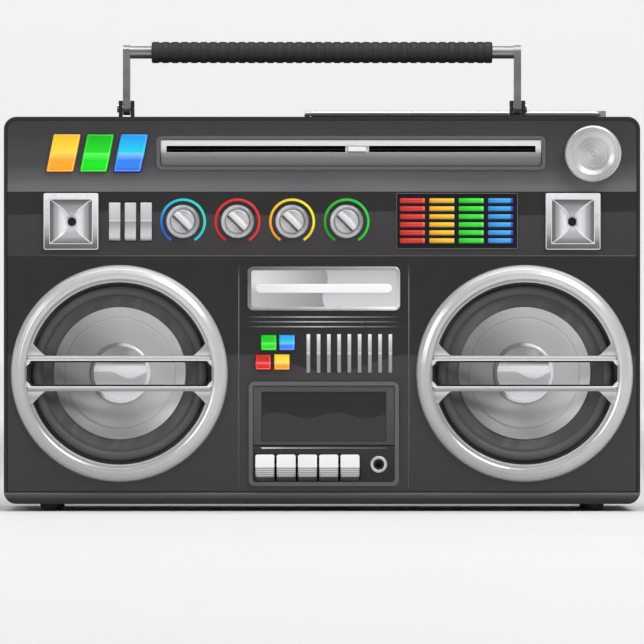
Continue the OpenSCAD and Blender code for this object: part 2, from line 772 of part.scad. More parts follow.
module antenna_mast_outer() color("#d3d5d8") difference() {
    union() {
        translate([ant_x - mast_len, ant_y, ant_z]) rotate([0, 90, 0]) cylinder(h = mast_len - 5, r = mast_r);
        translate([ant_x, ant_y + eye_t / 2, ant_z]) rotate([90, 0, 0]) linear_extrude(eye_t)
            polygon(concat(arc_pts(0, 0, eye_r, -90, 90), [[-7, eye_r], [-7, -eye_r]]));
    }
    translate([ant_x - mast_len - 1, ant_y, ant_z]) rotate([0, 90, 0]) cylinder(h = mast_len - 7, r = mast_bore_r);
    translate([ant_x, ant_y + 5, ant_z]) rotate([90, 0, 0]) cylinder(h = 10, r = tilt_pin_r + run);
}

module antenna_mast_inner() color("#dddfe1") {
    tip_x = ant_x - mast_len - 1;
    translate([tip_x, ant_y, ant_z]) rotate([0, 90, 0]) cylinder(h = mast_inner_len, r = mast_inner_r);
    translate([tip_x - 7, ant_y, ant_z]) rotate([0, 90, 0]) cylinder(h = 7.3, r = mast_r);
}

// ---- Electrics ----

module circuit_boards() {
    color("#2f6b3c") {
        slab(24.5, 26.1) span(-245, 60, 294, 345);
        slab(20.5, 22.1) {
            span(-322, -176, 368, 418);
            span(-88, -17, 143, 207);
        }
        slab(104.5, 106.1) span(-110, 110, 180, 290);
    }
    color("#8a8d91") {
        for (i = [0:3]) at(knob_x0 + i * knob_pitch, row_z) difference() {
            union() {
                rod(8.5, 14.5, 24.5);
                rod(4.5, 4.5, 14.5);
            }
            rod(spindle_r + run, 4, 23);
        }
        for (i = [-1:1]) slab(14.5, 24.5)
            translate([rocker_x0 + i * rocker_pitch, row_z]) square([10, 20], center = true);
        for (x = slant_xs) slab(17.5, 20.5)
            translate([x + slant_w / 2 + slant_shift / 2, slant_z + slant_h / 2]) square_shape(6);
        for (p = push_spots) slab(17, 20.5) translate(p) square_shape(6);
        slab(106.1, 114) span(-60, 60, 230, 285);
        for (i = [0:6]) slab(114, 134) span(-60, 60, 231 + 8.5 * i, 233 + 8.5 * i);
    }
    color("#6a5a48") slab(124.5, 170) span(-250, -200, z_base + wall, z_base + wall + 45);
}

module power_contacts() color("#cbb36a") {
    for (s = [-1, 1]) {
        slab(d_back_in - bay_depth + 3, d_back_in - 3)
            translate([s * (bay_w / 2 - 0.5), bay_z]) square([1, bay_h - 8], center = true);
        for (z = [-1, 1]) translate([s * (bay_w / 2 - 1), y_face + d_back_in - bay_depth / 2, bay_z + z * bay_h / 4])
            rotate([0, -90 * s, 0]) cylinder(h = 7, r1 = 8, r2 = 4);
    }
    for (s = [-1, 1]) at(inlet[0] + s * 4.3, inlet[1]) rod(1.2, d_back - 16, d_back - 5);
}

front_cabinet();
rear_cabinet();
upper_fascia();
control_fascia();
lower_fascia();
battery_door();
rubber_feet();
fasteners();
tuner_plate();
tuner_pointer();
tuning_knob();
function_key(0, "#f2a51d");  // function_key_yellow
function_key(1, "#19c41c");  // function_key_green
function_key(2, "#2b8cf0");  // function_key_blue
rocker(-1);  // rocker_power
rocker(0);  // rocker_loudness
rocker(1);  // rocker_mono
knob(0);  // volume_knob
knob(1);  // balance_knob
knob(2);  // bass_knob
knob(3);  // treble_knob
knob_scales();
meter_window();
meter_segments();
horn(-1);  // horn_left
horn(1);  // horn_right
woofer_guard(-1);  // woofer_guard_left
woofer_guard(1);  // woofer_guard_right
woofer_frames();
woofer_cone(-1);  // woofer_cone_left
woofer_cone(1);  // woofer_cone_right
woofer_surrounds();
display_frame();
display_light();
silver_inlays();
push_key(0, "#1fcf1f");  // push_key_green
push_key(1, "#2f8ff5");  // push_key_blue
push_key(2, "#e02525");  // push_key_red
push_key(3, "#f7a823");  // push_key_orange
deck_bezel();
cassette_door();
door_window();
piano_key(0);  // key_record
piano_key(1);  // key_play
piano_key(2);  // key_rewind
piano_key(3);  // key_forward
piano_key(4);  // key_stop
headphone_jack();
deck_chassis();
reel_spindle(-1);  // supply_spindle
reel_spindle(1);  // takeup_spindle
capstan_flywheel();
drive_belt();
handle_frame();
handle_grip();
antenna_knuckle();
antenna_mast_outer();
antenna_mast_inner();
circuit_boards();
power_contacts();
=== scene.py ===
import contextlib
import math

import bmesh
import bpy
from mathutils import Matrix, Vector


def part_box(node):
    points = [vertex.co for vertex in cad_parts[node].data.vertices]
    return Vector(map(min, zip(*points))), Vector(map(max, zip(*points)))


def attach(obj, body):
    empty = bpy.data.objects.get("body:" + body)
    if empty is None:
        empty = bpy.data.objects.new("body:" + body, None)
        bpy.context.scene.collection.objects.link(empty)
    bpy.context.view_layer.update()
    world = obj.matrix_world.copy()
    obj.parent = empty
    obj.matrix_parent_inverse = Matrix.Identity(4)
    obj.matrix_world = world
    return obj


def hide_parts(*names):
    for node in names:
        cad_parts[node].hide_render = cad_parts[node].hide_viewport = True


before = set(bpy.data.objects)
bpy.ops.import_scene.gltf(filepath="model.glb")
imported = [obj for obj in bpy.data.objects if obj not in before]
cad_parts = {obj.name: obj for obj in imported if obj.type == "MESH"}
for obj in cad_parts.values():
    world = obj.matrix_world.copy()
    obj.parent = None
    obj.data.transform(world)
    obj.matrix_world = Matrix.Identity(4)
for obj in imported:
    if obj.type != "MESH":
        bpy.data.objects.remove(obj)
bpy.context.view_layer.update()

# Lengths in this script are millimetres; Blender's are metres.
MM = 0.001


# ---------------------------------------------------------------- places in the frame

class Box:
    """A CAD node's box at rest, in millimetres."""

    def __init__(self, node):
        low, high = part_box(node)
        self.low = low / MM
        self.high = high / MM
        self.mid = (self.low + self.high) / 2
        self.size = self.high - self.low

    def on_face(self):
        """The box's middle, moved to the fascia's face."""
        return (self.mid.x, FACE_Y, self.mid.z)

    def corners(self):
        """Its outline seen from the front."""
        return rectangle(self.mid.x, self.mid.z, self.size.x, self.size.z)


FACE_Y = Box("lower_fascia").low.y
COLUMN_X = Box("display_frame").mid.x
SIDES = ("left", "right")
KNOBS = ("volume", "balance", "bass", "treble")


# ---------------------------------------------------------------- outlines

def fillet(points, closed=True, steps=5):
    """Rounds the corners of a line of (u, v, radius) points and returns its (u, v) points."""
    out = []
    count = len(points)
    for i, (u, v, radius) in enumerate(points):
        if radius <= 0 or (not closed and i in (0, count - 1)):
            out.append((u, v))
            continue
        corner = Vector((u, v))
        back = Vector(points[i - 1][:2]) - corner
        ahead = Vector(points[(i + 1) % count][:2]) - corner
        half = back.angle(ahead) / 2
        room = 0.49 * min(back.length, ahead.length)
        cut = min(radius / math.tan(half), room)
        real = cut * math.tan(half)
        back.normalize()
        ahead.normalize()
        centre = corner + (back + ahead).normalized() * real / math.sin(half)
        first = corner + back * cut - centre
        last = corner + ahead * cut - centre
        start = math.atan2(first.y, first.x)
        turn = (math.atan2(last.y, last.x) - start + math.pi) % (2 * math.pi) - math.pi
        for k in range(steps + 1):
            angle = start + turn * k / steps
            out.append((centre.x + real * math.cos(angle), centre.y + real * math.sin(angle)))
    return out


def inset_corners(corners, distance):
    """Corners of a convex outline moved inwards by a distance, with the outline counter-clockwise."""
    out = []
    count = len(corners)
    for i in range(count):
        before, here, after = (Vector(corners[(i + k) % count]) for k in (-1, 0, 1))
        edge_in = (here - before).normalized()
        edge_out = (after - here).normalized()
        normal_in = Vector((-edge_in.y, edge_in.x))
        normal_out = Vector((-edge_out.y, edge_out.x))
        bisector = (normal_in + normal_out).normalized()
        out.append(here + bisector * distance / max(0.2, bisector.dot(normal_in)))
    return [tuple(p) for p in out]


def rectangle(x, z, width, height):
    """Corners of a rectangle centred at x, z."""
    w, h = width / 2, height / 2
    return [(x - w, z - h), (x + w, z - h), (x + w, z + h), (x - w, z + h)]


def rod(radius, low, high, bore=0):
    """Profile of a plain round rod or tube, for the lathe."""
    return [(bore, low), (radius, low), (radius, high), (bore, high)]


def on_face(u, v, w):
    """Outline in X and Z, extruded out of the fascia's face."""
    return (u, FACE_Y - w, v)


def along_x(u, v, w):
    """Outline in height out of the face and Z, extruded along X."""
    return (w, FACE_Y - u, v)


# ---------------------------------------------------------------- solids

def skin(bm, loops, ring=False):
    """Joins loops of points, all of one length, into a surface, and closes its ends."""
    rows = [[bm.verts.new(Vector(p) * MM) for p in loop] for loop in loops]
    pairs = list(zip(rows, rows[1:]))
    if ring:
        pairs.append((rows[-1], rows[0]))
    for one, two in pairs:
        count = len(one)
        for i in range(count):
            j = (i + 1) % count
            bm.faces.new((one[i], one[j], two[j], two[i]))
    if not ring:
        bm.faces.new(list(reversed(rows[0])))
        bm.faces.new(rows[-1])
    return rows


def terraced(bm, corners, radius, steps, ring=False, arc=5):
    """Plate on the fascia's face. Each step is (inset, height out of the face)."""
    loops = []
    for inset, height in steps:
        moved = inset_corners(corners, inset)
        rounded = fillet([(u, v, max(radius - inset, 0.15)) for u, v in moved], steps=arc)
        loops.append([on_face(u, v, height) for u, v in rounded])
    skin(bm, loops, ring=ring)


def lathe(bm, profile, origin, axis="-Y", segments=96, flutes=0, depth=0.0, fluted=None):
    """Turns a closed profile of (radius, height) about an axis through origin."""
    along, across, up = {
        "-Y": (Vector((0, -1, 0)), Vector((1, 0, 0)), Vector((0, 0, 1))),
        "X": (Vector((1, 0, 0)), Vector((0, 1, 0)), Vector((0, 0, 1))),
    }[axis]
    origin = Vector(origin)
    rows = []
    for radius, height in profile:
        if radius < 1e-4:
            rows.append([bm.verts.new((origin + along * height) * MM)])
            continue
        row = []
        for k in range(segments):
            angle = 2 * math.pi * k / segments
            real = radius
            if flutes and fluted(radius, height):
                real -= depth * (0.5 - 0.5 * math.cos(flutes * angle))
            spoke = across * math.cos(angle) + up * math.sin(angle)
            row.append(bm.verts.new((origin + along * height + spoke * real) * MM))
        rows.append(row)
    for one, two in zip(rows, rows[1:] + rows[:1]):
        if len(one) == 1 and len(two) == 1:
            continue
        for k in range(segments):
            j = (k + 1) % segments
            quad = [one[k % len(one)], one[j % len(one)], two[j % len(two)], two[k % len(two)]]
            face = [v for n, v in enumerate(quad) if v not in quad[:n]]
            if len(face) > 2:
                bm.faces.new(face)


def round_edges(bm, edges, width, segments=3):
    bmesh.ops.bevel(bm, geom=edges, offset=width * MM, segments=segments, profile=0.5,
                    affect="EDGES", clamp_overlap=True)


def prism(bm, outline, low, high, place, bevel=0.0, segments=3):
    """Extrudes an outline between two distances and rounds the edges of both ends."""
    rows = skin(bm, [[place(u, v, w) for u, v in outline] for w in (low, high)])
    if bevel:
        round_edges(bm, [e for row in rows for e in loop_edges(row)], bevel, segments)


def loop_edges(row):
    """Edges between neighbouring vertices of a closed row."""
    found = []
    for i, vert in enumerate(row):
        other = row[(i + 1) % len(row)]
        found += [e for e in vert.link_edges if other in e.verts]
    return found


def block(bm, low, high, bevel):
    """Box between two corners with all its edges rounded."""
    made = bmesh.ops.create_cube(bm, size=1.0)["verts"]
    for vert in made:
        vert.co = Vector([(low[i] if vert.co[i] < 0 else high[i]) * MM for i in range(3)])
    round_edges(bm, list({e for v in made for e in v.link_edges}), bevel, 2)


def tube(bm, path, radii, sides=10):
    """Round rod along a line of points, of its own radius at each, closed at both ends."""
    points = [Vector(p) for p in path]
    loops = []
    for i, point in enumerate(points):
        ahead = points[min(i + 1, len(points) - 1)] - points[max(i - 1, 0)]
        ahead.normalize()
        side = ahead.cross(Vector((0, 1, 0)))
        side.normalize()
        other = ahead.cross(side)
        loops.append([point + (side * math.cos(a) + other * math.sin(a)) * radii[i]
                      for a in (2 * math.pi * k / sides for k in range(sides))])
    skin(bm, loops)


# ---------------------------------------------------------------- pieces and kept nodes

def add_object(name, data):
    obj = bpy.data.objects.new(name, data)
    bpy.context.scene.collection.objects.link(obj)
    return obj


def to_mesh(name, bm):
    mesh = bpy.data.meshes.new(name)
    bm.to_mesh(mesh)
    bm.free()
    return mesh


def even_normals(obj):
    obj.modifiers.new("even_normals", "WEIGHTED_NORMAL").keep_sharp = True


@contextlib.contextmanager
def piece(name, material, slot, body="root", replaces=(), sharp=32):
    """Gives an empty mesh to fill. Then it becomes an object that rides on its body, smooth
    but for creases where the surface turns by more than the sharp angle."""
    bm = bmesh.new()
    yield bm
    bmesh.ops.remove_doubles(bm, verts=bm.verts, dist=0.002 * MM)
    bmesh.ops.recalc_face_normals(bm, faces=bm.faces)
    for face in bm.faces:
        face.smooth = True
    limit = math.radians(sharp)
    for edge in bm.edges:
        edge.smooth = edge.is_manifold and edge.calc_face_angle(0) < limit
    obj = add_object(name, to_mesh(name, bm))
    obj.data.materials.append(MATERIALS[material])
    even_normals(obj)
    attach(obj, body)
    if replaces:
        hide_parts(*replaces)


def soften(node, material, width, segments=2):
    """Keeps a CAD node, and gives it its material, small edge radii and even shading."""
    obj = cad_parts[node]
    obj.data.materials.clear()
    obj.data.materials.append(MATERIALS[material])
    obj.modifiers.new("weld", "WELD").merge_threshold = 0.002 * MM
    flats = obj.modifiers.new("whole_flats", "DECIMATE")
    flats.decimate_type = "DISSOLVE"
    flats.angle_limit = math.radians(0.5)
    if width:
        bevel = obj.modifiers.new("edge_radius", "BEVEL")
        bevel.width = width * MM
        bevel.segments = segments
        bevel.limit_method = "ANGLE"
        bevel.angle_limit = math.radians(40)
        bevel.harden_normals = False
    even_normals(obj)
    for polygon in obj.data.polygons:
        polygon.use_smooth = True


# ---------------------------------------------------------------- material graphs

MATERIALS = {}


def tone(value):
    """A colour as it is, or a number as a neutral metal tone, very slightly cool."""
    return value if isinstance(value, tuple) else (value, value, value * 1.03)


class Graph:
    """A procedural material and the nodes that feed its shader."""

    def __init__(self, name, color, rough=0.4, metal=0.0, **more):
        self.mat = bpy.data.materials.new(name)
        MATERIALS[name] = self.mat
        self.mat.use_nodes = True
        self.tree = self.mat.node_tree
        self.shader = self.tree.nodes["Principled BSDF"]
        self.mat.diffuse_color = (*tone(color), 1)
        settings = {"Base Color": (*tone(color), 1), "Roughness": rough, "Metallic": metal}
        settings.update((socket.replace("_", " "), value) for socket, value in more.items())
        for socket, value in settings.items():
            self.shader.inputs[socket].default_value = value

    def node(self, kind, settings=None, **links):
        """Adds a node. A link is named by its socket, or by i and the socket's number."""
        made = self.tree.nodes.new(kind)
        for key, value in (settings or {}).items():
            setattr(made, key, value)
        for socket, value in links.items():
            numbered = socket[0] == "i" and socket[1:].isdigit()
            self.feed(made.inputs[int(socket[1:]) if numbered else socket.replace("_", " ")], value)
        return made

    def feed(self, socket, value):
        if isinstance(value, bpy.types.NodeSocket):
            self.tree.links.new(value, socket)
        else:
            socket.default_value = value

    def place(self, kind="Object"):
        return self.node("ShaderNodeTexCoord").outputs[kind]

    def axes(self, kind="Object"):
        return self.node("ShaderNodeSeparateXYZ", i0=self.place(kind)).outputs

    def math(self, operation, one, two=0.0, three=0.0):
        made = self.node("ShaderNodeMath", {"operation": operation}, i0=one, i1=two, i2=three)
        return made.outputs[0]

    def noise(self, scale, detail=3.0, stretch=None):
        where = self.place()
        if stretch:
            where = self.node("ShaderNodeMapping", Vector=where, Scale=stretch).outputs[0]
        made = self.node("ShaderNodeTexNoise", Vector=where, Scale=scale, Detail=detail, Roughness=0.5)
        return made.outputs["Fac"]

    def noise_line(self, value, scale, detail):
        """Noise that varies along one value only."""
        made = self.node("ShaderNodeTexNoise", {"noise_dimensions": "1D"}, W=value, Scale=scale, Detail=detail)
        return made.outputs["Fac"]

    def ramp(self, value, stops, smooth=True):
        made = self.node("ShaderNodeValToRGB", Fac=value)
        ramp = made.color_ramp
        ramp.interpolation = "EASE" if smooth else "LINEAR"
        while len(ramp.elements) < len(stops):
            ramp.elements.new(0.5)
        for element, (position, color) in zip(ramp.elements, stops):
            element.position = position
            element.color = (*tone(color), 1)
        return made.outputs["Color"]

    def remap(self, value, low, high, to_low=0.0, to_high=1.0, smooth=False):
        kind = {"interpolation_type": "SMOOTHSTEP" if smooth else "LINEAR"}
        made = self.node("ShaderNodeMapRange", kind, Value=value)
        for socket, number in zip(("From Min", "From Max", "To Min", "To Max"), (low, high, to_low, to_high)):
            made.inputs[socket].default_value = number
        return made.outputs["Result"]

    def remap_mm(self, value, low, high, *to, smooth=False):
        """The same, from two places in millimetres."""
        return self.remap(value, low * MM, high * MM, *to, smooth=smooth)

    def mix(self, factor, one, two, blend="MIX"):
        made = self.node("ShaderNodeMix", {"data_type": "RGBA", "blend_type": blend})
        self.feed(made.inputs[0], factor)
        for socket, value in ((made.inputs[6], one), (made.inputs[7], two)):
            self.feed(socket, value if isinstance(value, bpy.types.NodeSocket) else (*tone(value), 1))
        return made.outputs[2]

    def color(self, value):
        self.feed(self.shader.inputs["Base Color"], value)

    def glow(self, value):
        self.feed(self.shader.inputs["Emission Color"], value)

    def rough(self, low, high, spots=None):
        """Roughness between two values, from soft spots or from a noise of its own."""
        spots = self.noise(60.0, 2.0) if spots is None else spots
        self.feed(self.shader.inputs["Roughness"], self.remap(spots, 0.3, 0.7, low, high))

    def bump(self, height, strength, distance=0.05):
        made = self.node("ShaderNodeBump", Height=height, Strength=strength, Distance=distance * MM)
        self.tree.links.new(made.outputs[0], self.shader.inputs["Normal"])


# ---------------------------------------------------------------- families of materials

ACROSS, UP = (1, 0, 0), (0, 1, 0)


def graded(name, toward, stops, rough=0.26, metal=0.25, coat=0.25, glow=0.0, smooth=True, grain=0.0,
           variation=0.03):
    """Tone that runs through stops across the piece's own box, toward = (x, z, start); most uses paint light
    and shade this way.
    """
    g = Graph(name, stops[len(stops) // 2][1], rough, metal, Coat_Weight=coat, Coat_Roughness=0.1,
              Emission_Strength=glow)
    x, _, z = g.axes("Generated")
    run = g.math("MULTIPLY_ADD", x, toward[0], g.math("MULTIPLY_ADD", z, toward[1], toward[2]))
    shade = g.ramp(run, stops, smooth)
    cloud = g.remap(g.noise(18.0, 2.0), 0.3, 0.7, 1 - variation, 1 + variation)
    g.color(g.mix(1.0, shade, cloud, "MULTIPLY"))
    if glow:
        g.glow(shade)
    g.rough(rough - 0.015, rough + 0.02)
    if grain:
        g.bump(g.noise(650.0, 2.0), grain)


def key_colour(name, bottom, lower, glint, upper, top):
    """Glossy tinted key with a painted reflection: a light line across the middle, deeper at its two ends."""
    stops = [(0.0, bottom), (0.16, lower), (0.32, lower), (0.50, glint), (0.515, upper), (1.0, top)]
    graded(name, UP, stops, 0.2, 0.0, 0.2, smooth=False)


def edge_highlight_colour(name, dim, bright):
    """Painted highlight along a key's edge: a bright line, brighter towards the lower right."""
    graded(name, (0.5, -0.5, 0.5), [(0.0, dim), (1.0, bright)], 0.2, 0.0, 0.4, variation=0.02)


def scale_colour(name, start, middle, finish):
    graded(name, (0.75, 0.35, 0), [(0.0, start), (0.5, middle), (1.0, finish)], 0.25, 0.0, 0.3,
           variation=0.02)


def gloss_black(name, boundary, lift=1.0):
    """Gloss black lacquer with a painted reflection: a faint lighter area under a soft wavy line, dimming
    downwards.
    """
    g = Graph(name, (0.018, 0.018, 0.019), 0.2, Specular_IOR_Level=0.4, Coat_Weight=0.25,
              Coat_Roughness=0.08)
    x, _, z = g.axes()
    # Painted reflection: lighter below the wavy line, brightest just under it.
    over = g.math("SUBTRACT", z, boundary(g, x))
    reflection_mask = g.remap_mm(over, -0.8, 0.8, 1.0, 0.0, smooth=True)
    fade = g.remap_mm(over, -150, 0, 0.4, 1.0)
    light = g.mix(fade, (0.012 * lift, 0.011 * lift, 0.0115 * lift),
                  (0.042 * lift, 0.039 * lift, 0.040 * lift))
    dark = g.mix(g.noise(6.0, 2.0), 0.013 * lift, 0.021 * lift)
    g.color(g.mix(reflection_mask, dark, light))
    g.rough(0.18, 0.26, g.noise(45.0, 5.0))
    g.bump(g.noise(70.0, 2.0), 0.03, 0.4)


def control_line(g, x):
    """Edge of the painted reflection: a long low ripple through the knobs' row."""
    ripple = g.math("SINE", g.math("MULTIPLY", x, 2 * math.pi / 0.29))
    return g.math("MULTIPLY_ADD", ripple, 2.2 * MM, Box("volume_knob").mid.z * MM + 9 * MM)


def lower_line(g, x):
    """Edge of the painted reflection: level outside the middle column, with one broad dip in it."""
    offset = g.math("ABSOLUTE", g.math("SUBTRACT", x, (COLUMN_X + 8) * MM))
    dip = g.remap_mm(offset, 0, 85, 1.0, 0.0, smooth=True)
    return g.math("MULTIPLY_ADD", dip, -20 * MM, (Box("woofer_guard_left").mid.z + 20.5) * MM)


def window_line(g, x):
    """Edge of the painted reflection: even waves across the cassette window."""
    phase = g.math("MULTIPLY", g.math("ADD", x, 49 * MM), 2 * math.pi / 0.0656)
    return g.math("MULTIPLY_ADD", g.math("COSINE", phase), 3.2 * MM, (Box("door_window").mid.z + 1.3) * MM)


def soft_black(name, base, rough, grain=1300.0, strength=0.2):
    g = Graph(name, base, rough, Specular_IOR_Level=0.35)
    g.color(g.mix(g.noise(25.0, 4.0), base * 0.85, base * 1.2))
    g.rough(rough - 0.07, rough + 0.1, g.noise(130.0, 4.0))
    g.bump(g.noise(grain), strength, 0.08)


def plain(name, color, rough, metal=0.0):
    """Inner part: one tone with slight variation and grain."""
    g = Graph(name, color, rough, metal)
    g.color(g.mix(g.noise(30.0, 4.0), tuple(0.75 * c for c in color), color))
    g.bump(g.noise(900.0), 0.15)


def turned(name, base, rough=0.28):
    """Turned metal: fine rings about the middle, and a painted sheen that changes its tone slowly round it."""
    g = Graph(name, base, rough, 0.5, Anisotropic=0.4, Coat_Weight=0.2, Coat_Roughness=0.12)
    x, _, z = g.axes("Generated")
    across = g.math("SUBTRACT", x, 0.5)
    up = g.math("SUBTRACT", z, 0.5)
    radius = g.math("SQRT", g.math("ADD", g.math("MULTIPLY", across, across), g.math("MULTIPLY", up, up)))
    sheen_sweep = g.math("SINE", g.math("MULTIPLY_ADD", g.math("ARCTAN2", up, across), 2.0, 0.4))
    rings = g.noise_line(radius, 90.0, 3.0)
    shade = g.math("MULTIPLY_ADD", sheen_sweep, 0.16, g.remap(rings, 0.3, 0.7, 0.94, 1.06))
    g.color(g.mix(1.0, base, shade, "MULTIPLY"))
    g.rough(rough - 0.04, rough + 0.06, rings)
    tangent = g.node("ShaderNodeTangent", {"direction_type": "RADIAL", "axis": "Y"})
    g.tree.links.new(tangent.outputs[0], g.shader.inputs["Tangent"])


# ---------------------------------------------------------------- materials of one piece each

def moulded_black():
    """Case plastic, with a painted highlight that lightens the ledge along the front's foot."""
    g = Graph("moulded_black", (0.020, 0.021, 0.022), 0.46, Specular_IOR_Level=0.4)
    _, y, z = g.axes()
    base = g.mix(g.noise(30.0), (0.0120, 0.0120, 0.0128), (0.0150, 0.0150, 0.0158))
    # Painted highlight: the proud ledge grows lighter towards its top.
    ledge = g.remap_mm(y, FACE_Y - 1.6, FACE_Y - 1.2, 1.0, 0.0)
    g.color(g.mix(g.math("MULTIPLY", ledge, g.remap_mm(z, 13, 20)), base, 0.085))
    g.rough(0.45, 0.49)
    cells = g.node("ShaderNodeTexVoronoi", Vector=g.place(), Scale=900.0)
    g.bump(cells.outputs["Distance"], 0.08)


def grey_lacquer():
    """Dark metallic lacquer with a painted sheen that lightens it towards the panel's lower edge."""
    g = Graph("grey_lacquer", (0.06, 0.06, 0.065), 0.34, 0.15, Coat_Weight=0.3, Coat_Roughness=0.12)
    _, y, z = g.axes()
    panel = Box("upper_fascia")
    rise = g.remap_mm(z, panel.low.z, panel.high.z)
    drift = g.remap(g.noise(5.0, 2.0, stretch=(1.0, 1.0, 3.0)), 0.3, 0.7, -0.05, 0.05)
    # Painted sheen: dark at the top, lighter towards the lower edge, its line drifting a little.
    stops = [(0.00, 0.150), (0.10, 0.132), (0.24, 0.088), (0.45, 0.050), (1.00, 0.034)]
    shade = g.ramp(g.math("ADD", rise, drift), stops)
    flakes = g.remap(g.noise(2600.0, 1.0), 0.35, 0.65, 0.93, 1.07)
    rim = g.remap_mm(y, FACE_Y - 1.4, FACE_Y - 0.5, 1.0, 0.0, smooth=True)
    g.color(g.mix(rim, g.mix(1.0, shade, flakes, "MULTIPLY"), 0.105))
    g.rough(0.30, 0.36, g.noise(35.0, 4.0))


def deck_plastic():
    """Dark plastic with a lighter raised rim, both painted darker towards the bottom as shade."""
    g = Graph("deck_plastic", (0.06, 0.06, 0.06), 0.38, Specular_IOR_Level=0.4)
    _, y, z = g.axes()
    box = Box("deck_bezel")
    rim = g.remap_mm(y, box.low.y + 0.9, box.low.y + 1.4, 1.0, 0.0)
    # Painted shade: the panel and rim darken towards the bezel's bottom.
    rise = g.remap_mm(z, box.low.z, box.high.z)
    panel = g.mix(rise, (0.009, 0.0088, 0.009), (0.047, 0.046, 0.047))
    g.color(g.mix(rim, panel, g.mix(rise, (0.098, 0.096, 0.098), (0.112, 0.110, 0.112))))
    g.rough(0.32, 0.42, g.noise(80.0, 4.0))
    g.bump(g.noise(900.0, 2.0), 0.08)


def cone_skirt():
    """Dark pressed paper with faint slanting streaks of painted reflection."""
    g = Graph("cone_skirt", 0.075, 0.5, Specular_IOR_Level=0.3)
    x, _, z = g.axes()
    slant = g.math("MULTIPLY_ADD", x, 0.9, g.math("MULTIPLY", z, -0.45))
    reflection_streak = g.remap(g.noise_line(slant, 26.0, 2.0), 0.35, 0.75, smooth=True)
    g.color(g.mix(reflection_streak, (0.058, 0.056, 0.058), (0.115, 0.112, 0.116)))
    g.bump(g.noise(700.0), 0.12, 0.08)


def dome_silver():
    """Satin dome with a painted reflection: dark at the top, then bright down to a wavy line, mid grey under
    it.
    """
    g = Graph("dome_silver", 0.3, 0.35, Specular_IOR_Level=0.4, Coat_Weight=0.08, Coat_Roughness=0.2)
    x, _, z = g.axes("Generated")
    flat_until, half_wave = 0.3, 0.376
    run = g.math("SUBTRACT", g.math("MAXIMUM", x, flat_until), flat_until)
    wave = g.math("COSINE", g.math("MULTIPLY", run, math.pi / half_wave))
    over = g.math("SUBTRACT", z, g.math("MULTIPLY_ADD", wave, 0.062, 0.468))
    reflection_band = g.mix(g.remap(z, 0.62, 0.68), 0.86, g.mix(x, 0.34, 0.19))
    below = g.ramp(z, [(0.0, 0.95), (0.12, 0.86), (0.25, 0.62), (0.50, 0.54)])
    g.color(g.mix(g.remap(over, -0.012, 0.012, 1.0, 0.0), reflection_band, below))
    g.rough(0.32, 0.38, g.noise(120.0, 4.0))


def rail_silver():
    """Guard rails with painted light: bright along the slot between them, greyer away from it, and darker
    across the gussets' middle.
    """
    g = Graph("rail_silver", 0.4, 0.3, 0.2, Coat_Weight=0.2, Coat_Roughness=0.1)
    _, _, z = g.axes()
    offset = g.math("ABSOLUTE", g.math("SUBTRACT", z, Box("woofer_guard_left").mid.z * MM))
    stops = [(0.0, 0.85), (0.27, 0.92), (0.34, 0.50), (0.62, 0.42), (1.0, 0.34)]
    rail = g.ramp(g.remap_mm(offset, 13, 20), stops, smooth=False)
    gusset = g.ramp(g.remap_mm(offset, 20, 34), [(0.0, 0.62), (0.5, 0.38), (1.0, 0.52)])
    g.color(g.mix(g.remap_mm(offset, 19.8, 20.4), rail, gusset))
    g.rough(0.28, 0.32)


def display_silver():
    """Bright satin plate with a painted reflection: its left half darkens towards a curved edge at the middle.
    """
    g = Graph("display_silver", 0.6, 0.3, 0.15, Coat_Weight=0.3, Coat_Roughness=0.1)
    x, _, z = g.axes("Generated")
    curve = g.math("MULTIPLY_ADD", g.math("SINE", g.math("MULTIPLY", z, 6.2)), 0.018, x)
    left = g.remap(curve, 0.505, 0.515, 1.0, 0.0, smooth=True)
    along = g.remap(x, 0.05, 0.50)
    upper = g.mix(along, 0.74, 0.34)
    lower = g.mix(along, 0.50, 0.30)
    left_tone = g.mix(g.remap(z, 0.35, 0.65, smooth=True), lower, upper)
    g.color(g.mix(left, g.mix(g.remap(z, 0.0, 1.0), 0.66, 0.52), left_tone))
    g.rough(0.29, 0.31, g.noise(150.0, 4.0, stretch=(0.1, 1.0, 1.0)))


def tuner_silver():
    """Scale plate with painted light: bright over the slot and, as painted shade, dark grey under it, with a
    dark rod behind.
    """
    g = Graph("tuner_silver", 0.5, 0.3, 0.2, Coat_Weight=0.25, Coat_Roughness=0.12)
    _, y, z = g.axes()
    box = Box("tuner_plate")
    slot = Box("tuner_pointer").mid.z - 4
    over = g.ramp(g.remap_mm(z, slot, box.high.z), [(0.0, 0.44), (0.45, 0.76), (1.0, 0.92)])
    under = g.ramp(g.remap_mm(z, box.low.z, slot), [(0.0, 0.115), (0.5, 0.155), (1.0, 0.27)])
    plate = g.mix(g.remap_mm(z, slot - 0.3, slot + 0.3), under, over)
    g.color(g.mix(g.remap_mm(y, FACE_Y + 4, FACE_Y + 5), plate, 0.01))
    g.rough(0.29, 0.32, g.noise(200.0, 4.0, stretch=(0.05, 1.0, 1.0)))


def bright_plate():
    """Chrome plating."""
    g = Graph("bright_plate", (0.72, 0.73, 0.75), 0.16, 1.0)
    g.color(g.mix(g.noise(50.0), (0.66, 0.67, 0.69), (0.76, 0.77, 0.79)))
    g.rough(0.11, 0.24, g.noise(160.0, 5.0))


def handle_metal():
    """Metal with fine lines along X."""
    g = Graph("handle_metal", 0.34, 0.3, 0.9)
    lines = g.noise(60.0, 5.0, stretch=(0.1, 1.0, 1.0))
    g.color(g.mix(lines, 0.34 * 0.82, 0.34 * 1.18))
    g.rough(0.24, 0.38, lines)
    g.bump(lines, 0.08, 0.03)


LAMP_COLUMNS, LAMP_ROWS = 4, 6
LAMP_WIDTH, LAMP_HEIGHT = 27.5, 5.8


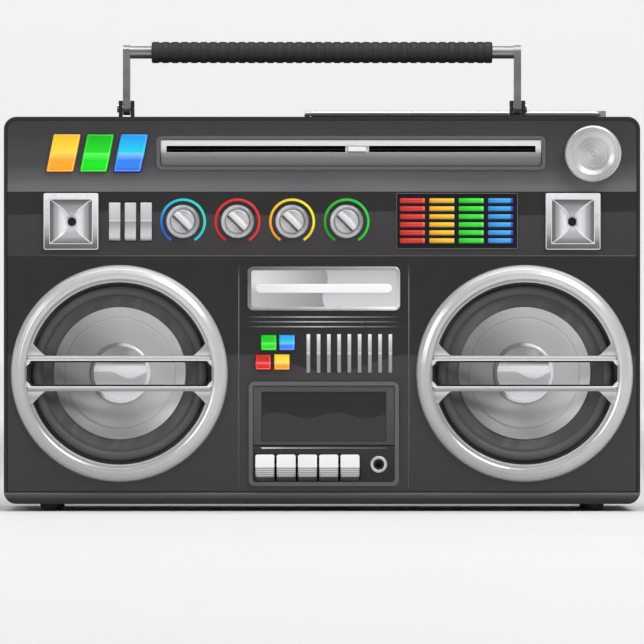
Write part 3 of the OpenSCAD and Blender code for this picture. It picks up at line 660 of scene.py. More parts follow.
def lamp_colour(name, full, light, end):
    """Lens of a level meter lamp, paler to the right as a painted shine, each bar painted bright above and
    dark at its foot as shade.
    """
    g = Graph(name, light, 0.2, Coat_Weight=0.2, Coat_Roughness=0.1, Emission_Strength=0.12)
    lamps = Box("meter_segments")
    pitch = (lamps.size.z - LAMP_HEIGHT) / (LAMP_ROWS - 1)
    share = LAMP_HEIGHT / pitch
    x = g.axes("Generated")[0]
    z = g.axes()[2]
    row = g.math("FRACT", g.math("DIVIDE", g.math("SUBTRACT", z, lamps.low.z * MM), pitch * MM))
    stops = [(0.0, 0.18), (0.10, 0.25), (0.26, 0.62), (0.50, 0.78), (0.74, 0.86), (0.88, 0.80), (1.0, 0.54)]
    # Painted highlight and shade inside each bar, repeated row by row.
    lift = g.ramp(row, [(share * up, level) for up, level in stops])
    tint = g.ramp(x, [(0.0, full), (0.55, light), (0.88, light), (0.93, end), (1.0, end)], smooth=False)
    lit = g.mix(1.0, tint, lift, "MULTIPLY")
    g.color(lit)
    g.glow(lit)
    g.rough(0.18, 0.23)


HORN_THROAT, HORN_DEPTH, HORN_LIP, HORN_WALL = 4.5, 24.0, 4.4, 1.2
HORN_MOUTH = (23.5, 24.5)
HORN_CURVE = (1.9, 1.15)


def horn_flare():
    """Flare with painted light: it brightens towards the throat, more on its two side walls than above and
    below.
    """
    g = Graph("horn_flare", 0.5, 0.34, 0.1, Coat_Weight=0.15, Coat_Roughness=0.15)
    x, y, z = g.axes()
    box = Box("horn_left")
    inward = g.remap_mm(y, FACE_Y - HORN_LIP, FACE_Y - HORN_LIP + HORN_DEPTH)
    shares = []
    for place, middle, mouth, curve in zip((g.math("ABSOLUTE", x), z), (-box.mid.x, box.mid.z),
                                           HORN_MOUTH, HORN_CURVE):
        across = g.math("ABSOLUTE", g.math("SUBTRACT", place, middle * MM))
        narrow = g.math("POWER", g.math("SUBTRACT", 1.0, inward), curve)
        half = g.math("MULTIPLY_ADD", narrow, (mouth - HORN_THROAT) * MM, HORN_THROAT * MM)
        shares.append(g.math("DIVIDE", across, half))
    beside = g.remap(g.math("SUBTRACT", *shares), -0.02, 0.02)
    sides = g.ramp(inward, [(0.0, 0.08), (0.07, 0.14), (0.20, 0.40), (0.42, 0.85), (0.6, 1.0)])
    ends = g.ramp(inward, [(0.0, 0.10), (0.15, 0.20), (0.40, 0.42), (1.0, 0.80)])
    g.color(g.mix(beside, ends, sides))
    g.rough(0.31, 0.37)


for make in (moulded_black, grey_lacquer, deck_plastic, cone_skirt, dome_silver, rail_silver, display_silver,
             tuner_silver, bright_plate, handle_metal, horn_flare):
    make()

gloss_black("gloss_black_control", control_line)
gloss_black("gloss_black_lower", lower_line)
gloss_black("smoked_window", window_line, 0.72)

soft_black("meter_pane", 0.006, 0.15, 900.0, 0.02)
soft_black("surround_rubber", 0.072, 0.5, 900.0, 0.08)
soft_black("feet_rubber", 0.02, 0.6)
soft_black("grip_rubber", 0.020, 0.6, 900.0)
soft_black("trim_black", 0.006, 0.3, 2000.0, 0.05)
soft_black("key_apron", 0.12, 0.5)

plain("stamped_steel", (0.26, 0.27, 0.28), 0.4, 0.8)
plain("board_green", (0.03, 0.15, 0.06), 0.45)
plain("turned_brass", (0.60, 0.48, 0.26), 0.3, 1.0)
plain("dark_zinc", (0.07, 0.07, 0.072), 0.5, 0.5)
plain("black_acetal", (0.03, 0.03, 0.032), 0.4)
# Near-black for the horn throat's plug, which stands in for shade.
plain("dark_inside", (0.006, 0.006, 0.006), 0.8)

turned("knob_cap", 0.60)
turned("turned_aluminium", 0.58, 0.26)

# Lines, rims and edges.
# Painted highlight and shade: the tone changes along the seam, the grooves, the meter trim, the long inlays
# and the deck line.
graded("seam_silver", ACROSS, [(0.0, 0.06), (0.3, 0.17), (0.7, 0.12), (1.0, 0.16)], 0.35)
graded("groove_silver", UP, [(0.0, 0.10), (0.5, 0.16), (0.9, 0.26), (1.0, 0.05)], 0.35)
graded("meter_trim", (1, 0.3, 0), [(0.0, 0.10), (1.0, 0.14)], 0.35)
graded("glint", (0.5, 0.5, 0), [(0.0, 0.72), (1.0, 0.88)], 0.25, 0.0)
graded("fading_line", ACROSS, [(0.0, 0.02), (0.18, 0.22), (0.42, 0.62), (0.80, 0.22), (1.0, 0.02)], 0.28, 0.2)
graded("deck_line", ACROSS, [(0.0, 0.80), (0.25, 0.36), (0.7, 0.16), (1.0, 0.11)], 0.25, 0.2)
# Painted highlight and reflection: bright at the top, a light line at half height, darker below.
graded("upright_fade", UP, [(0.0, 0.30), (0.46, 0.35), (0.50, 0.66), (0.56, 0.48), (0.80, 0.64), (1.0, 0.95)],
       0.3, 0.2, smooth=False)
# Painted light and shade: dark at the upper left, bright at the lower right.
graded("display_rim", (0.75, -0.25, 0.25), [(0.0, 0.13), (0.35, 0.26), (0.7, 0.42), (1.0, 0.72)], 0.28, 0.2)
graded("display_white", ACROSS, [(0.0, 0.72), (0.5, 0.79), (1.0, 0.81)], 0.3, 0.0, 0.1, 0.10)

# Woofers and horns.
# Painted light: brighter towards the top and right, darker towards the lower left.
graded("guard_silver", (0.40, 0.60, 0), [(0.0, 0.40), (0.5, 0.56), (1.0, 0.72)], 0.25, 0.35)
# Painted light: dark at the lower left, bright towards the right and top.
graded("cone_silver", (0.65, 0.35, 0), [(0.0, 0.08), (0.35, 0.26), (0.7, 0.55), (1.0, 0.60)], 0.45, 0.1, 0.0)
# Painted highlight: the rim is bright on the right, dark on the left and top.
graded("dome_rim", (0.75, -0.25, 0.25), [(0.0, 0.12), (0.32, 0.22), (0.45, 0.75), (1.0, 0.92)], 0.24, 0.2)
# Painted shade: dark at the bottom, lighter towards the top.
graded("horn_frame", (0.05, 0.95, 0), [(0.0, 0.08), (0.12, 0.14), (0.30, 0.38), (0.5, 0.60), (1.0, 0.80)],
       0.28, 0.1, 0.1)

# Knobs, rockers, keys and the socket's collar.
# Painted highlight: lightest across the middle, darker at the foot.
graded("pointer_silver", UP, [(0.0, 0.45), (0.5, 0.85), (1.0, 0.70)], 0.25, 0.1)
# Painted light and shade: darker across the diagonal middle, lighter at either end.
graded("collar_silver", (0.5, 0.5, 0), [(0.0, 0.62), (0.5, 0.50), (1.0, 0.66)], 0.24, 0.25)
# Painted shade: darker towards the upper right.
graded("knob_skirt", (0.6, 0.4, 0), [(0.0, 0.62), (0.5, 0.56), (0.75, 0.34), (1.0, 0.22)], 0.28, 0.25)
# Painted shade: the bar's lower-left flank is nearly black, the rest light.
graded("knob_bar", (-1, -1, 1.5), [(0.25, 0.42), (0.36, 0.76), (0.60, 0.60), (0.645, 0.08), (0.8, 0.12)],
       0.26, 0.15, smooth=False)
# Painted shade and highlight: darker up to just under the middle, a light line there, lighter towards both
# ends.
graded("rocker_silver", UP, [(0.0, 0.62), (0.25, 0.50), (0.48, 0.28), (0.51, 0.66), (0.56, 0.50), (1.0, 0.66)],
       0.3, 0.1, smooth=False)
# Painted shade: the upright part below the break is much darker than the sloping top.
graded("key_white", UP, [(0.0, 0.27), (0.41, 0.33), (0.45, 0.80), (1.0, 0.84)], 0.2, 0.0, 0.3, smooth=False)
# Painted shade: the ribs darken towards the bottom.
graded("key_grey", UP, [(0.0, 0.50), (1.0, 0.62)], 0.3, 0.0)
# Painted shade: darker towards the bottom.
graded("door_plastic", UP, [(0.0, 0.048), (1.0, 0.066)], 0.34, 0.0, 0.0, grain=0.08)

key_colour("key_yellow", (0.85, 0.26, 0.01), (0.90, 0.38, 0.02), (0.95, 0.62, 0.12), (0.93, 0.68, 0.05),
           (0.88, 0.50, 0.02))
key_colour("key_orange", (0.86, 0.22, 0.01), (0.92, 0.36, 0.02), (0.96, 0.80, 0.20), (0.95, 0.78, 0.05),
           (0.94, 0.66, 0.02))
key_colour("key_green", (0.005, 0.50, 0.005), (0.005, 0.78, 0.008), (0.12, 0.88, 0.12), (0.01, 0.70, 0.01),
           (0.0, 0.44, 0.01))
key_colour("key_blue", (0.02, 0.06, 0.78), (0.03, 0.22, 0.86), (0.22, 0.58, 0.92), (0.01, 0.64, 0.84),
           (0.01, 0.26, 0.88))
key_colour("key_red", (0.52, 0.005, 0.005), (0.74, 0.01, 0.01), (0.86, 0.16, 0.15), (0.66, 0.015, 0.015),
           (0.46, 0.005, 0.008))
edge_highlight_colour("line_yellow", (0.90, 0.50, 0.05), (1.0, 0.80, 0.35))
edge_highlight_colour("line_orange", (0.88, 0.42, 0.04), (1.0, 0.78, 0.32))
edge_highlight_colour("line_green", (0.02, 0.66, 0.02), (0.40, 0.92, 0.36))
edge_highlight_colour("line_blue", (0.04, 0.28, 0.90), (0.36, 0.66, 1.0))
edge_highlight_colour("line_red", (0.76, 0.03, 0.03), (0.92, 0.36, 0.34))
lamp_colour("lamp_red", (0.66, 0.006, 0.008), (0.84, 0.03, 0.03), (0.92, 0.13, 0.12))
lamp_colour("lamp_amber", (0.90, 0.42, 0.01), (0.96, 0.58, 0.03), (0.98, 0.66, 0.12))
lamp_colour("lamp_green", (0.008, 0.60, 0.010), (0.03, 0.84, 0.03), (0.20, 0.92, 0.18))
lamp_colour("lamp_blue", (0.02, 0.26, 0.75), (0.05, 0.42, 0.90), (0.03, 0.07, 0.80))
scale_colour("scale_blue", (0.01, 0.02, 0.55), (0.02, 0.50, 0.72), (0.03, 0.72, 0.62))
scale_colour("scale_red", (0.55, 0.01, 0.015), (0.72, 0.02, 0.02), (0.74, 0.03, 0.03))
scale_colour("scale_yellow", (0.86, 0.26, 0.01), (0.86, 0.62, 0.02), (0.90, 0.84, 0.04))
scale_colour("scale_green", (0.01, 0.28, 0.01), (0.02, 0.50, 0.03), (0.02, 0.62, 0.05))


# ---------------------------------------------------------------- camera, floor and light

FLOOR_GLOW = 0.52


def front_camera():
    """Frontal camera that sees 644 picture widths of 1.1 mm across the fascia's plane."""
    picture = 644 * 1.1 * MM
    distance, height = 6.0, 0.2082
    data = bpy.data.cameras.new("camera")
    data.sensor_width = 36.0
    data.lens = data.sensor_width * distance / picture
    data.clip_end = 100
    camera = add_object("camera", data)
    camera.location = (0.0, FACE_Y * MM - distance, height)
    camera.rotation_euler = (math.radians(90), 0, 0)
    bpy.context.scene.camera = camera


def bowl(turns=96):
    """Flat floor that curves up into a wall all round, in metres."""
    centre, reach, wall, curve = 0.4, 28.0, 7.0, 4.0
    outline = [(centre, 0.0)] + fillet([(reach / 2, 0.0, 0), (reach, 0.0, curve), (reach, wall, 0)],
                                       closed=False, steps=16)
    bm = bmesh.new()
    rows = []
    for k in range(turns):
        angle = 2 * math.pi * k / turns
        rows.append([bm.verts.new((r * math.cos(angle), r * math.sin(angle), z)) for r, z in outline])
    for k in range(turns):
        for i in range(len(outline) - 1):
            bm.faces.new((rows[k - 1][i], rows[k - 1][i + 1], rows[k][i + 1], rows[k][i]))
    bm.faces.new([row[0] for row in rows])
    for face in bm.faces:
        face.smooth = True
    return to_mesh("floor", bm)


def pale_floor():
    """The floor glows softly, from 1.5 m outwards and less in front, so that it stays pale."""
    g = Graph("pale_floor", (0.80, 0.80, 0.80), 0.7, Specular_IOR_Level=0.1, Emission_Color=(1, 1, 1, 1))
    g.color(g.mix(g.noise(3.0), (0.79, 0.79, 0.79), (0.82, 0.82, 0.82)))
    x, y, _ = g.axes()
    radius = g.math("SQRT", g.math("ADD", g.math("MULTIPLY", x, x), g.math("MULTIPLY", y, y)))
    outward = g.remap(radius, 1.5, 6.5, smooth=True)
    backward = g.remap(y, -10.0, -3.5, 0.2, 1.0, smooth=True)
    strength = g.math("MULTIPLY", g.math("MULTIPLY", outward, backward), FLOOR_GLOW)
    g.feed(g.shader.inputs["Emission Strength"], strength)
    floor = add_object("floor", bowl())
    floor.data.materials.append(g.mat)


def area_light(name, where, target, size, power):
    data = bpy.data.lights.new(name, "AREA")
    data.shape = "RECTANGLE"
    data.size, data.size_y = size
    data.energy = power
    lamp = add_object(name, data)
    lamp.location = where
    lamp.rotation_euler = (Vector(target) - Vector(where)).to_track_quat("-Z", "Y").to_euler()


def light():
    """Dim white surroundings and four soft lamps, in metres and watts."""
    bpy.context.scene.view_settings.view_transform = "Standard"
    world = bpy.data.worlds.new("world")
    bpy.context.scene.world = world
    world.use_nodes = True
    background = world.node_tree.nodes["Background"]
    background.inputs["Color"].default_value = (1, 1, 1, 1)
    background.inputs["Strength"].default_value = 0.20
    area_light("key", (2.0, -3.0, 3.2), (0, 0, 0.25), (1.8, 1.4), 95)
    area_light("fill", (-3.0, -3.0, 1.6), (0, 0, 0.2), (1.4, 2.0), 45)
    area_light("top", (0.0, -0.9, 3.0), (0, 0, 0.2), (3.0, 0.8), 35)
    area_light("backdrop", (0.0, 0.6, 4.4), (0, 3.0, 0.6), (6.0, 1.5), 80)


front_camera()
pale_floor()
light()


# ---------------------------------------------------------------- case

def case():
    soften("front_cabinet", "moulded_black", 0.9, 3)
    soften("rear_cabinet", "moulded_black", 0.8)
    soften("battery_door", "moulded_black", 0.6)
    soften("upper_fascia", "grey_lacquer", 0.5, 3)
    soften("control_fascia", "gloss_black_control", 0.35)
    soften("lower_fascia", "gloss_black_lower", 0.35)
    soften("rubber_feet", "feet_rubber", 0.6)
    soften("fasteners", "bright_plate", 0.2)
    soften("circuit_boards", "board_green", 0)


def seam_lines():
    """Thin bright lines along the fascias' joint and in the two upright grooves."""
    lower = Box("lower_fascia")
    seam_z = (lower.high.z + Box("control_fascia").low.z) / 2
    with piece("seam_line", "seam_silver", "silver_satin") as bm:
        block(bm, (lower.low.x + 1, FACE_Y - 0.15, seam_z - 0.35),
              (lower.high.x - 1, FACE_Y + 2, seam_z + 0.35), 0.1)
    groove = 93.5
    with piece("groove_lines", "groove_silver", "silver_satin") as bm:
        for x in (COLUMN_X - groove, COLUMN_X + groove):
            block(bm, (x - 0.4, FACE_Y + 0.1, lower.low.z + 3), (x + 0.4, FACE_Y + 1.4, lower.high.z - 8), 0.1)


case()
seam_lines()


# ---------------------------------------------------------------- tuner

def tuner():
    soften("tuner_plate", "tuner_silver", 0.3)
    soften("tuner_pointer", "pointer_silver", 0.6, 3)
    box = Box("tuning_knob")
    radius = box.size.x / 2
    proud = FACE_Y - box.low.y
    profile = fillet([
        (0, proud - 3.4, 0), (radius - 12.5, proud - 3.0, 1), (radius - 9.5, proud - 1.2, 1.5),
        (radius - 7.5, proud, 0.8), (radius - 2.2, proud, 1.2), (radius - 0.2, proud - 2.4, 1.2),
        (radius, proud - 4.0, 0.4), (radius, 4.4, 0.4), (radius - 0.8, 3.2, 0.5), (radius - 0.8, 1.5, 0.3),
        (0, 1.5, 0)], closed=False)
    with piece("tuning_knob_body", "turned_aluminium", "turned_aluminium", "tuning", ["tuning_knob"]) as bm:
        lathe(bm, profile, box.on_face(), segments=288, flutes=72, depth=0.7,
              fluted=lambda r, h: 4.2 < h < proud - 2.6 and r > radius - 1.0)
    with piece("tuning_spindle", "stamped_steel", "frame_steel", "tuning") as bm:
        lathe(bm, rod(3, -18.5, 1.6), box.on_face(), segments=32)


tuner()


# ---------------------------------------------------------------- keys that slide in

KEY_FLANGE = 1.2
KEY_STEPS = [(0, -3.8), (0, 4.1), (0.2, 4.6), (0.6, 4.95), (1.1, 5.0), (1.9, 5.0)]
KEY_HIGHLIGHT_RING = [(1.25, 4.9), (1.25, 5.1), (1.35, 5.15), (1.6, 5.15), (1.7, 5.1), (1.7, 4.9)]


def stem_and_flange(bm, box, corners):
    """Hidden flange and stem behind a key's face."""
    grown = inset_corners(corners, -KEY_FLANGE)
    skin(bm, [[on_face(u, v, -depth) for u, v in grown] for depth in (3.8, 6.0)])
    x = sum(c[0] for c in corners) / 4
    z = sum(c[1] for c in corners) / 4
    block(bm, (x - 4, FACE_Y + 6, z - 4), (x + 4, box.high.y, z + 4), 0.4)


def sliding_key(node, body, corners, radius, tint):
    """Glossy key face with a fine bright line just inside its edge, a painted highlight on a thin raised ring.
    """
    slot = "key_yellow" if tint == "orange" else "key_" + tint
    with piece("face_" + node, "key_" + tint, slot, body, [node]) as bm:
        terraced(bm, corners, radius, KEY_STEPS)
        stem_and_flange(bm, Box(node), corners)
    # Painted highlight: the edge ring is coloured brighter than the key.
    with piece("edge_" + node, "line_" + tint, slot, body) as bm:
        terraced(bm, corners, radius, KEY_HIGHLIGHT_RING, ring=True)


def function_keys():
    """Three keys that lean to the right, as far as the slant of their ends."""
    lean = 8.4
    for tint in ("yellow", "green", "blue"):
        node = "function_key_" + tint
        low_left, low_right, high_right, high_left = inset_corners(Box(node).corners(), KEY_FLANGE)
        corners = [low_left, (low_right[0] - lean, low_right[1]), high_right,
                   (high_left[0] + lean, high_left[1])]
        sliding_key(node, "fkey_" + tint, corners, 1.4, tint)


def push_keys():
    for tint in ("green", "blue", "red", "orange"):
        node = "push_key_" + tint
        box = Box(node)
        side = box.size.x - 2 * KEY_FLANGE
        sliding_key(node, "pkey_" + tint, rectangle(box.mid.x, box.mid.z, side, side), 0.9, tint)


function_keys()
push_keys()


# ---------------------------------------------------------------- control row

def slanted_bar(bm, centre, steps, reach, slant):
    """Grip bar across a knob. Each step is (half width, shortening, height out of the face)."""
    x, face, z = centre
    loops = []
    for half, shorter, height in steps:
        length = reach - shorter
        tip = math.asin(min(half / length, 0.9))
        arc = [(length * math.cos(a), length * math.sin(a)) for a in (tip * (k / 5 - 1) for k in range(11))]
        outline = arc + [(-u, -v) for u, v in arc]
        loops.append([(x + u * math.cos(slant) - v * math.sin(slant), face - height,
                       z + u * math.sin(slant) + v * math.cos(slant)) for u, v in outline])
    skin(bm, loops)


def knob(name):
    """Skirt, cap with its spindle, and slanted bar."""
    box = Box(name + "_knob")
    centre = box.on_face()
    radius = box.size.x / 2
    top = FACE_Y - box.low.y
    skirt = fillet([(0, 0.7, 0), (radius, 0.7, 0.3), (radius, 3.6, 0.8), (radius - 0.9, 6.4, 1.0),
                    (radius - 2.2, 7.2, 0.8), (14.0, 7.2, 0.3), (13.6, 5.2, 0.3), (0, 5.2, 0)], closed=False)
    cap = fillet([(0, 5.0, 0), (12.6, 5.0, 0), (12.9, 5.6, 0.3), (12.9, 10.4, 0.8), (11.9, 11.5, 0.6),
                  (0, 11.7, 0)], closed=False)
    bar = [(5.0, 0, 11.3), (3.2, 0.3, top - 0.9), (2.8, 0.6, top - 0.2), (2.2, 1.1, top)]
    with piece(name + "_knob_skirt", "knob_skirt", "turned_aluminium", name, [name + "_knob"]) as bm:
        lathe(bm, skirt, centre)
    with piece(name + "_knob_cap", "knob_cap", "turned_aluminium", name) as bm:
        lathe(bm, cap, centre)
        lathe(bm, rod(3, -22, 6), centre, segments=32)
    with piece(name + "_knob_bar", "knob_bar", "turned_aluminium", name, sharp=50) as bm:
        slanted_bar(bm, centre, bar, 12.6, math.radians(-45))


def knob_scale(name, tint):
    """Open ring round a knob, a rounded coloured bead."""
    outer, inner, rise = 25.3, 22.5, 0.6
    opening, steps = 32, 96
    first = math.radians(opening - 90)
    last = math.radians(270 - opening)
    section = fillet([(inner, 0, 0), (inner, rise, 0.5), (outer, rise, 0.5), (outer, 0, 0)], steps=3)
    x, _, z = Box(name + "_knob").on_face()
    loops = []
    for k in range(steps + 1):
        angle = first + (last - first) * k / steps
        loops.append([on_face(x + r * math.cos(angle), z + r * math.sin(angle), h) for r, h in section])
    replaced = ["knob_scales"] if tint == "blue" else []
    with piece("scale_" + tint, "scale_" + tint, "scale_print", "root", replaced) as bm:
        skin(bm, loops)


def rocker(node, side):
    """Cap that slopes to a nose at its lower end, on a pin."""
    box = Box(node)
    x, z = box.mid.x, box.mid.z
    width, pin_radius, pin_depth = 12.3, 1.6, 5.5
    reach = box.size.z / 2
    profile = fillet([
        (-8.5, z + reach - 2.4, 1), (-1.0, z + reach - 0.3, 1), (1.5, z + reach - 1.2, 1.2),
        (1.5, z + 0.8, 0.4), (1.0, z - 0.4, 0.3), (2.2, z - 6.0, 6), (5.4, z - reach + 4.6, 2.0),
        (4.0, z - reach + 2.2, 1.4), (-1.0, z - reach + 0.3, 1), (-8.5, z - reach + 2.4, 1)], steps=4)
    with piece("cap_" + node, "rocker_silver", "silver_satin", "rocker_" + side, [node]) as bm:
        prism(bm, profile, x - width / 2, x + width / 2, along_x, 0.55)
        lathe(bm, rod(pin_radius, -8.2, 8.2), (x, FACE_Y + pin_depth, z), "X", 24)


def meter():
    """Dark pane with a fine trim, and four columns of pillow-shaped lamps on it."""
    corners = Box("meter_window").corners()
    with piece("meter_pane", "meter_pane", "smoked_window", "root", ["meter_window"]) as bm:
        terraced(bm, corners, 1.2, [(0, 0), (0, 1.0), (0.4, 1.4), (0.9, 1.5)])
    with piece("meter_trim", "meter_trim", "silver_satin") as bm:
        terraced(bm, corners, 1.4, [(-0.3, 0), (-0.3, 1.7), (0.0, 1.85), (0.3, 1.7), (0.3, 0)], ring=True)
    lamps = Box("meter_segments")
    pitch_x = (lamps.size.x - LAMP_WIDTH) / (LAMP_COLUMNS - 1)
    pitch_z = (lamps.size.z - LAMP_HEIGHT) / (LAMP_ROWS - 1)
    pillow = [(0, 1.4), (0, 1.7), (0.35, 2.2), (1.0, 2.7), (2.0, 3.0), (2.7, 3.1)]
    for c, tint in enumerate(("red", "amber", "green", "blue")):
        replaced = ["meter_segments"] if c == 0 else []
        with piece("lamps_" + tint, "lamp_" + tint, "meter_lamps", "root", replaced) as bm:
            for r in range(LAMP_ROWS):
                x = lamps.low.x + LAMP_WIDTH / 2 + c * pitch_x
                z = lamps.low.z + LAMP_HEIGHT / 2 + r * pitch_z
                terraced(bm, rectangle(x, z, LAMP_WIDTH, LAMP_HEIGHT), 0.9, pillow, arc=3)


for knob_name in KNOBS:
    knob(knob_name)
for knob_name, scale_tint in zip(KNOBS, ("blue", "red", "yellow", "green")):
    knob_scale(knob_name, scale_tint)
for rocker_name, rocker_side in (("power", "left"), ("loudness", "middle"), ("mono", "right")):
    rocker("rocker_" + rocker_name, rocker_side)
meter()


# ---------------------------------------------------------------- horns

def horn_section(t):
    """Half width, Y and half height of the flare, t running from the mouth to the throat."""
    wide, tall = (HORN_THROAT + (mouth - HORN_THROAT) * (1 - t) ** curve
                  for mouth, curve in zip(HORN_MOUTH, HORN_CURVE))
    return wide, FACE_Y - HORN_LIP + HORN_DEPTH * t, tall


def horn_loops(x, z, wall, steps=30):
    """Outlines of the flare from its mouth to its throat, widened by a wall."""
    loops = []
    for k in range(steps + 1):
        t = k / steps
        wide, y, tall = horn_section(t)
        corners = rectangle(x, z, 2 * (wide + wall), 2 * (tall + wall))
        rounded = fillet([(u, v, 0.4 + 3.6 * t + wall) for u, v in corners], steps=4)
        loops.append([(u, y, v) for u, v in rounded])
    return loops


def horn_ridges(bm, x, z, steps=18):
    """Four ridges down the corners of the flare, thicker towards the throat, bright as painted highlights."""
    for sx in (-1, 1):
        for sz in (-1, 1):
            path = []
            radii = []
            for k in range(steps - 1):
                t = k / steps
                wide, y, tall = horn_section(t)
                path.append((x + sx * (wide - 0.4), y - 0.2, z + sz * (tall - 0.4)))
                radii.append(0.55 + 1.6 * min(t / 0.5, 1.0) ** 2)
            tube(bm, path, radii)


def horn(side):
    """Flange, flare with its driver, bright edges that are painted highlights, and the throat's dark plug
    standing in for shade.
    """
    box = Box("horn_" + side)
    centre = box.on_face()
    x, _, z = centre
    corners = box.corners()
    wide, _, tall = horn_section(0)
    flange = [(6.2, 0), (0, 0), (0, 3.8), (0.4, 4.6), (1.1, 5.0), (5.6, 5.0), (6.2, HORN_LIP)]
    mouth_glint_ring = [(-0.5, 4.6), (-0.3, 5.2), (0.3, 5.2), (0.5, 4.0)]
    outer_glint_ring = [(-0.12, 2.0), (-0.12, 4.4), (0.25, 5.05), (0.75, 5.1), (0.9, 4.8)]
    with piece("horn_frame_" + side, "horn_frame", "silver_satin", "root", ["horn_" + side], 40) as bm:
        terraced(bm, corners, 2.0, flange, ring=True, arc=4)
    with piece("horn_flare_" + side, "horn_flare", "silver_satin", sharp=50) as bm:
        skin(bm, horn_loops(x, z, 0.0) + horn_loops(x, z, HORN_WALL)[::-1], ring=True)
        lathe(bm, rod(19.6, -44, -24), centre, segments=48)
    # Painted highlights: ridges, mouth ring and outer ring in the bright glint material.
    with piece("horn_edges_" + side, "glint", "silver_satin") as bm:
        horn_ridges(bm, x, z)
        terraced(bm, rectangle(x, z, 2 * wide, 2 * tall), 0.6, mouth_glint_ring, ring=True, arc=3)
        terraced(bm, corners, 2.0, outer_glint_ring, ring=True, arc=4)
    # Painted shade: a near-black plug in the throat stands in for the shade deep in the horn.
    with piece("horn_throat_" + side, "dark_inside", "rubber_black") as bm:
        lathe(bm, rod(HORN_THROAT, -19.4, -18.6), centre, segments=32)


for horn_side in SIDES:
    horn(horn_side)


# ---------------------------------------------------------------- woofers

GUARD_BAND = 19.1
RAIL_IN, RAIL_OUT = 13.8, 19.6


def guard_ring(side):
    box = Box("woofer_guard_" + side)
    outer = box.size.x / 2
    inner = outer - GUARD_BAND
    ring = fillet([
        (outer, 0, 0), (outer, 3.2, 1.0), (outer - 1.5, 6.4, 1.6), (outer - 4.6, 9.4, 3.0),
        (outer - 9.0, 11.8, 4.0), (outer - 12.4, 12.5, 2.0), (outer - 15.0, 11.2, 1.6),
        (inner + 1.7, 6.6, 0.8), (inner + 1.1, 6.0, 0.3), (inner + 0.4, 6.0, 0.3), (inner, 5.0, 0.3),
        (inner, 0, 0)], closed=False, steps=6)
    with piece("guard_" + side, "guard_silver", "silver_satin", "root", ["woofer_guard_" + side], 40) as bm:
        lathe(bm, ring, box.on_face(), segments=192)


def guard_rails(side):
    """Two rails, a gusset at each of their ends, and a bridge at each end of the slot between them."""
    box = Box("woofer_guard_" + side)
    x, _, z = box.on_face()
    reach = box.size.x / 2 - GUARD_BAND + 2
    half = math.sqrt(reach ** 2 - RAIL_OUT ** 2)
    gusset = [(79.0, RAIL_OUT - 1.0), (83.5, 21.2), (88.0, 24.4), (91.8, 28.4), (94.4, 33.0), (99.5, 33.0),
              (102.5, RAIL_OUT - 1.0)]
    bridge = [(96.0, -RAIL_IN - 1), (101.0, -7.5), (101.0, 7.5), (96.0, RAIL_IN + 1), (103.5, RAIL_IN + 1),
              (103.5, -RAIL_IN - 1)]
    with piece("guard_rails_" + side, "rail_silver", "silver_satin", sharp=40) as bm:
        for up in (-1, 1):
            section = fillet([
                (2.5, z + up * RAIL_OUT, 1.2), (6.4, z + up * RAIL_OUT, 1.6),
                (8.6, z + up * (RAIL_OUT - 2.6), 1.4), (8.6, z + up * RAIL_IN, 0.6),
                (2.5, z + up * RAIL_IN, 0.6)], steps=4)
            prism(bm, section, x - half, x + half, along_x)
            for out in (-1, 1):
                outline = [(x + out * u, z + up * v) for u, v in gusset]
                if out * up < 0:
                    outline.reverse()
                prism(bm, outline, 2.5, 7.4, on_face, 0.7, 2)
        for out in (-1, 1):
            prism(bm, [(x + out * u, z + v) for u, v in bridge], 1.0, 7.8, on_face, 0.4, 2)


def slot_shade_strip(side):
    """Black strip round the slot between the rails, a dark part standing in for the shade along the slot's
    edge.
    """
    x, _, z = Box("woofer_guard_" + side).on_face()
    end, shoulder, tall, low = 101.2, 95.0, 13.4, 7.8
    slot = [(-shoulder, -tall), (shoulder, -tall), (end, -low), (end, low), (shoulder, tall),
            (-shoulder, tall), (-end, low), (-end, -low)]
    shade_strip_steps = [(-0.6, 3.0), (-0.6, 8.5), (-0.3, 8.8), (0.9, 8.8), (1.2, 8.5), (1.2, 3.0)]
    with piece("guard_slot_shade_strip_" + side, "trim_black", "rubber_black") as bm:
        terraced(bm, [(x + u, z + v) for u, v in slot], 0.6, shade_strip_steps, ring=True, arc=3)


def sheet(front, thick, steps):
    """Closed profile of a thin sheet from the points of its front."""
    back = [(u, v - thick, 0) for u, v, _ in reversed(front)]
    return fillet(front + back, closed=False, steps=steps)


def cone(side):
    """Silver cone with its voice coil's sleeve, and the dark skirt outside it."""
    node = "woofer_cone_" + side
    centre = Box(node).on_face()
    body = "cone_" + side
    thick = 1.4
    front = [(73.0, -10.0, 0.5), (72.3, -9.3, 0.5), (61.9, -14.6, 0.3), (61.4, -15.6, 0.3), (60.3, -15.9, 0.3),
             (60.0, -15.4, 0.3), (48.0, -21.6, 20), (33.0, -29.0, 0), (19.4, -34.5, 0)]
    skirt = [(84.9, -7.8, 0.3), (80.0, -9.6, 6), (73.4, -11.2, 0.2), (72.6, -11.0, 0)]
    with piece("cone_body_" + side, "cone_silver", "cone_silver", body, [node]) as bm:
        lathe(bm, sheet(front, thick, 4), centre, segments=144)
        lathe(bm, rod(19.4, -52, -34, 18), centre, segments=64)
    with piece("cone_skirt_" + side, "cone_skirt", "surround_rubber", body) as bm:
        lathe(bm, sheet(skirt, thick, 5), centre, segments=144)
    dust_cap(side, centre, body)


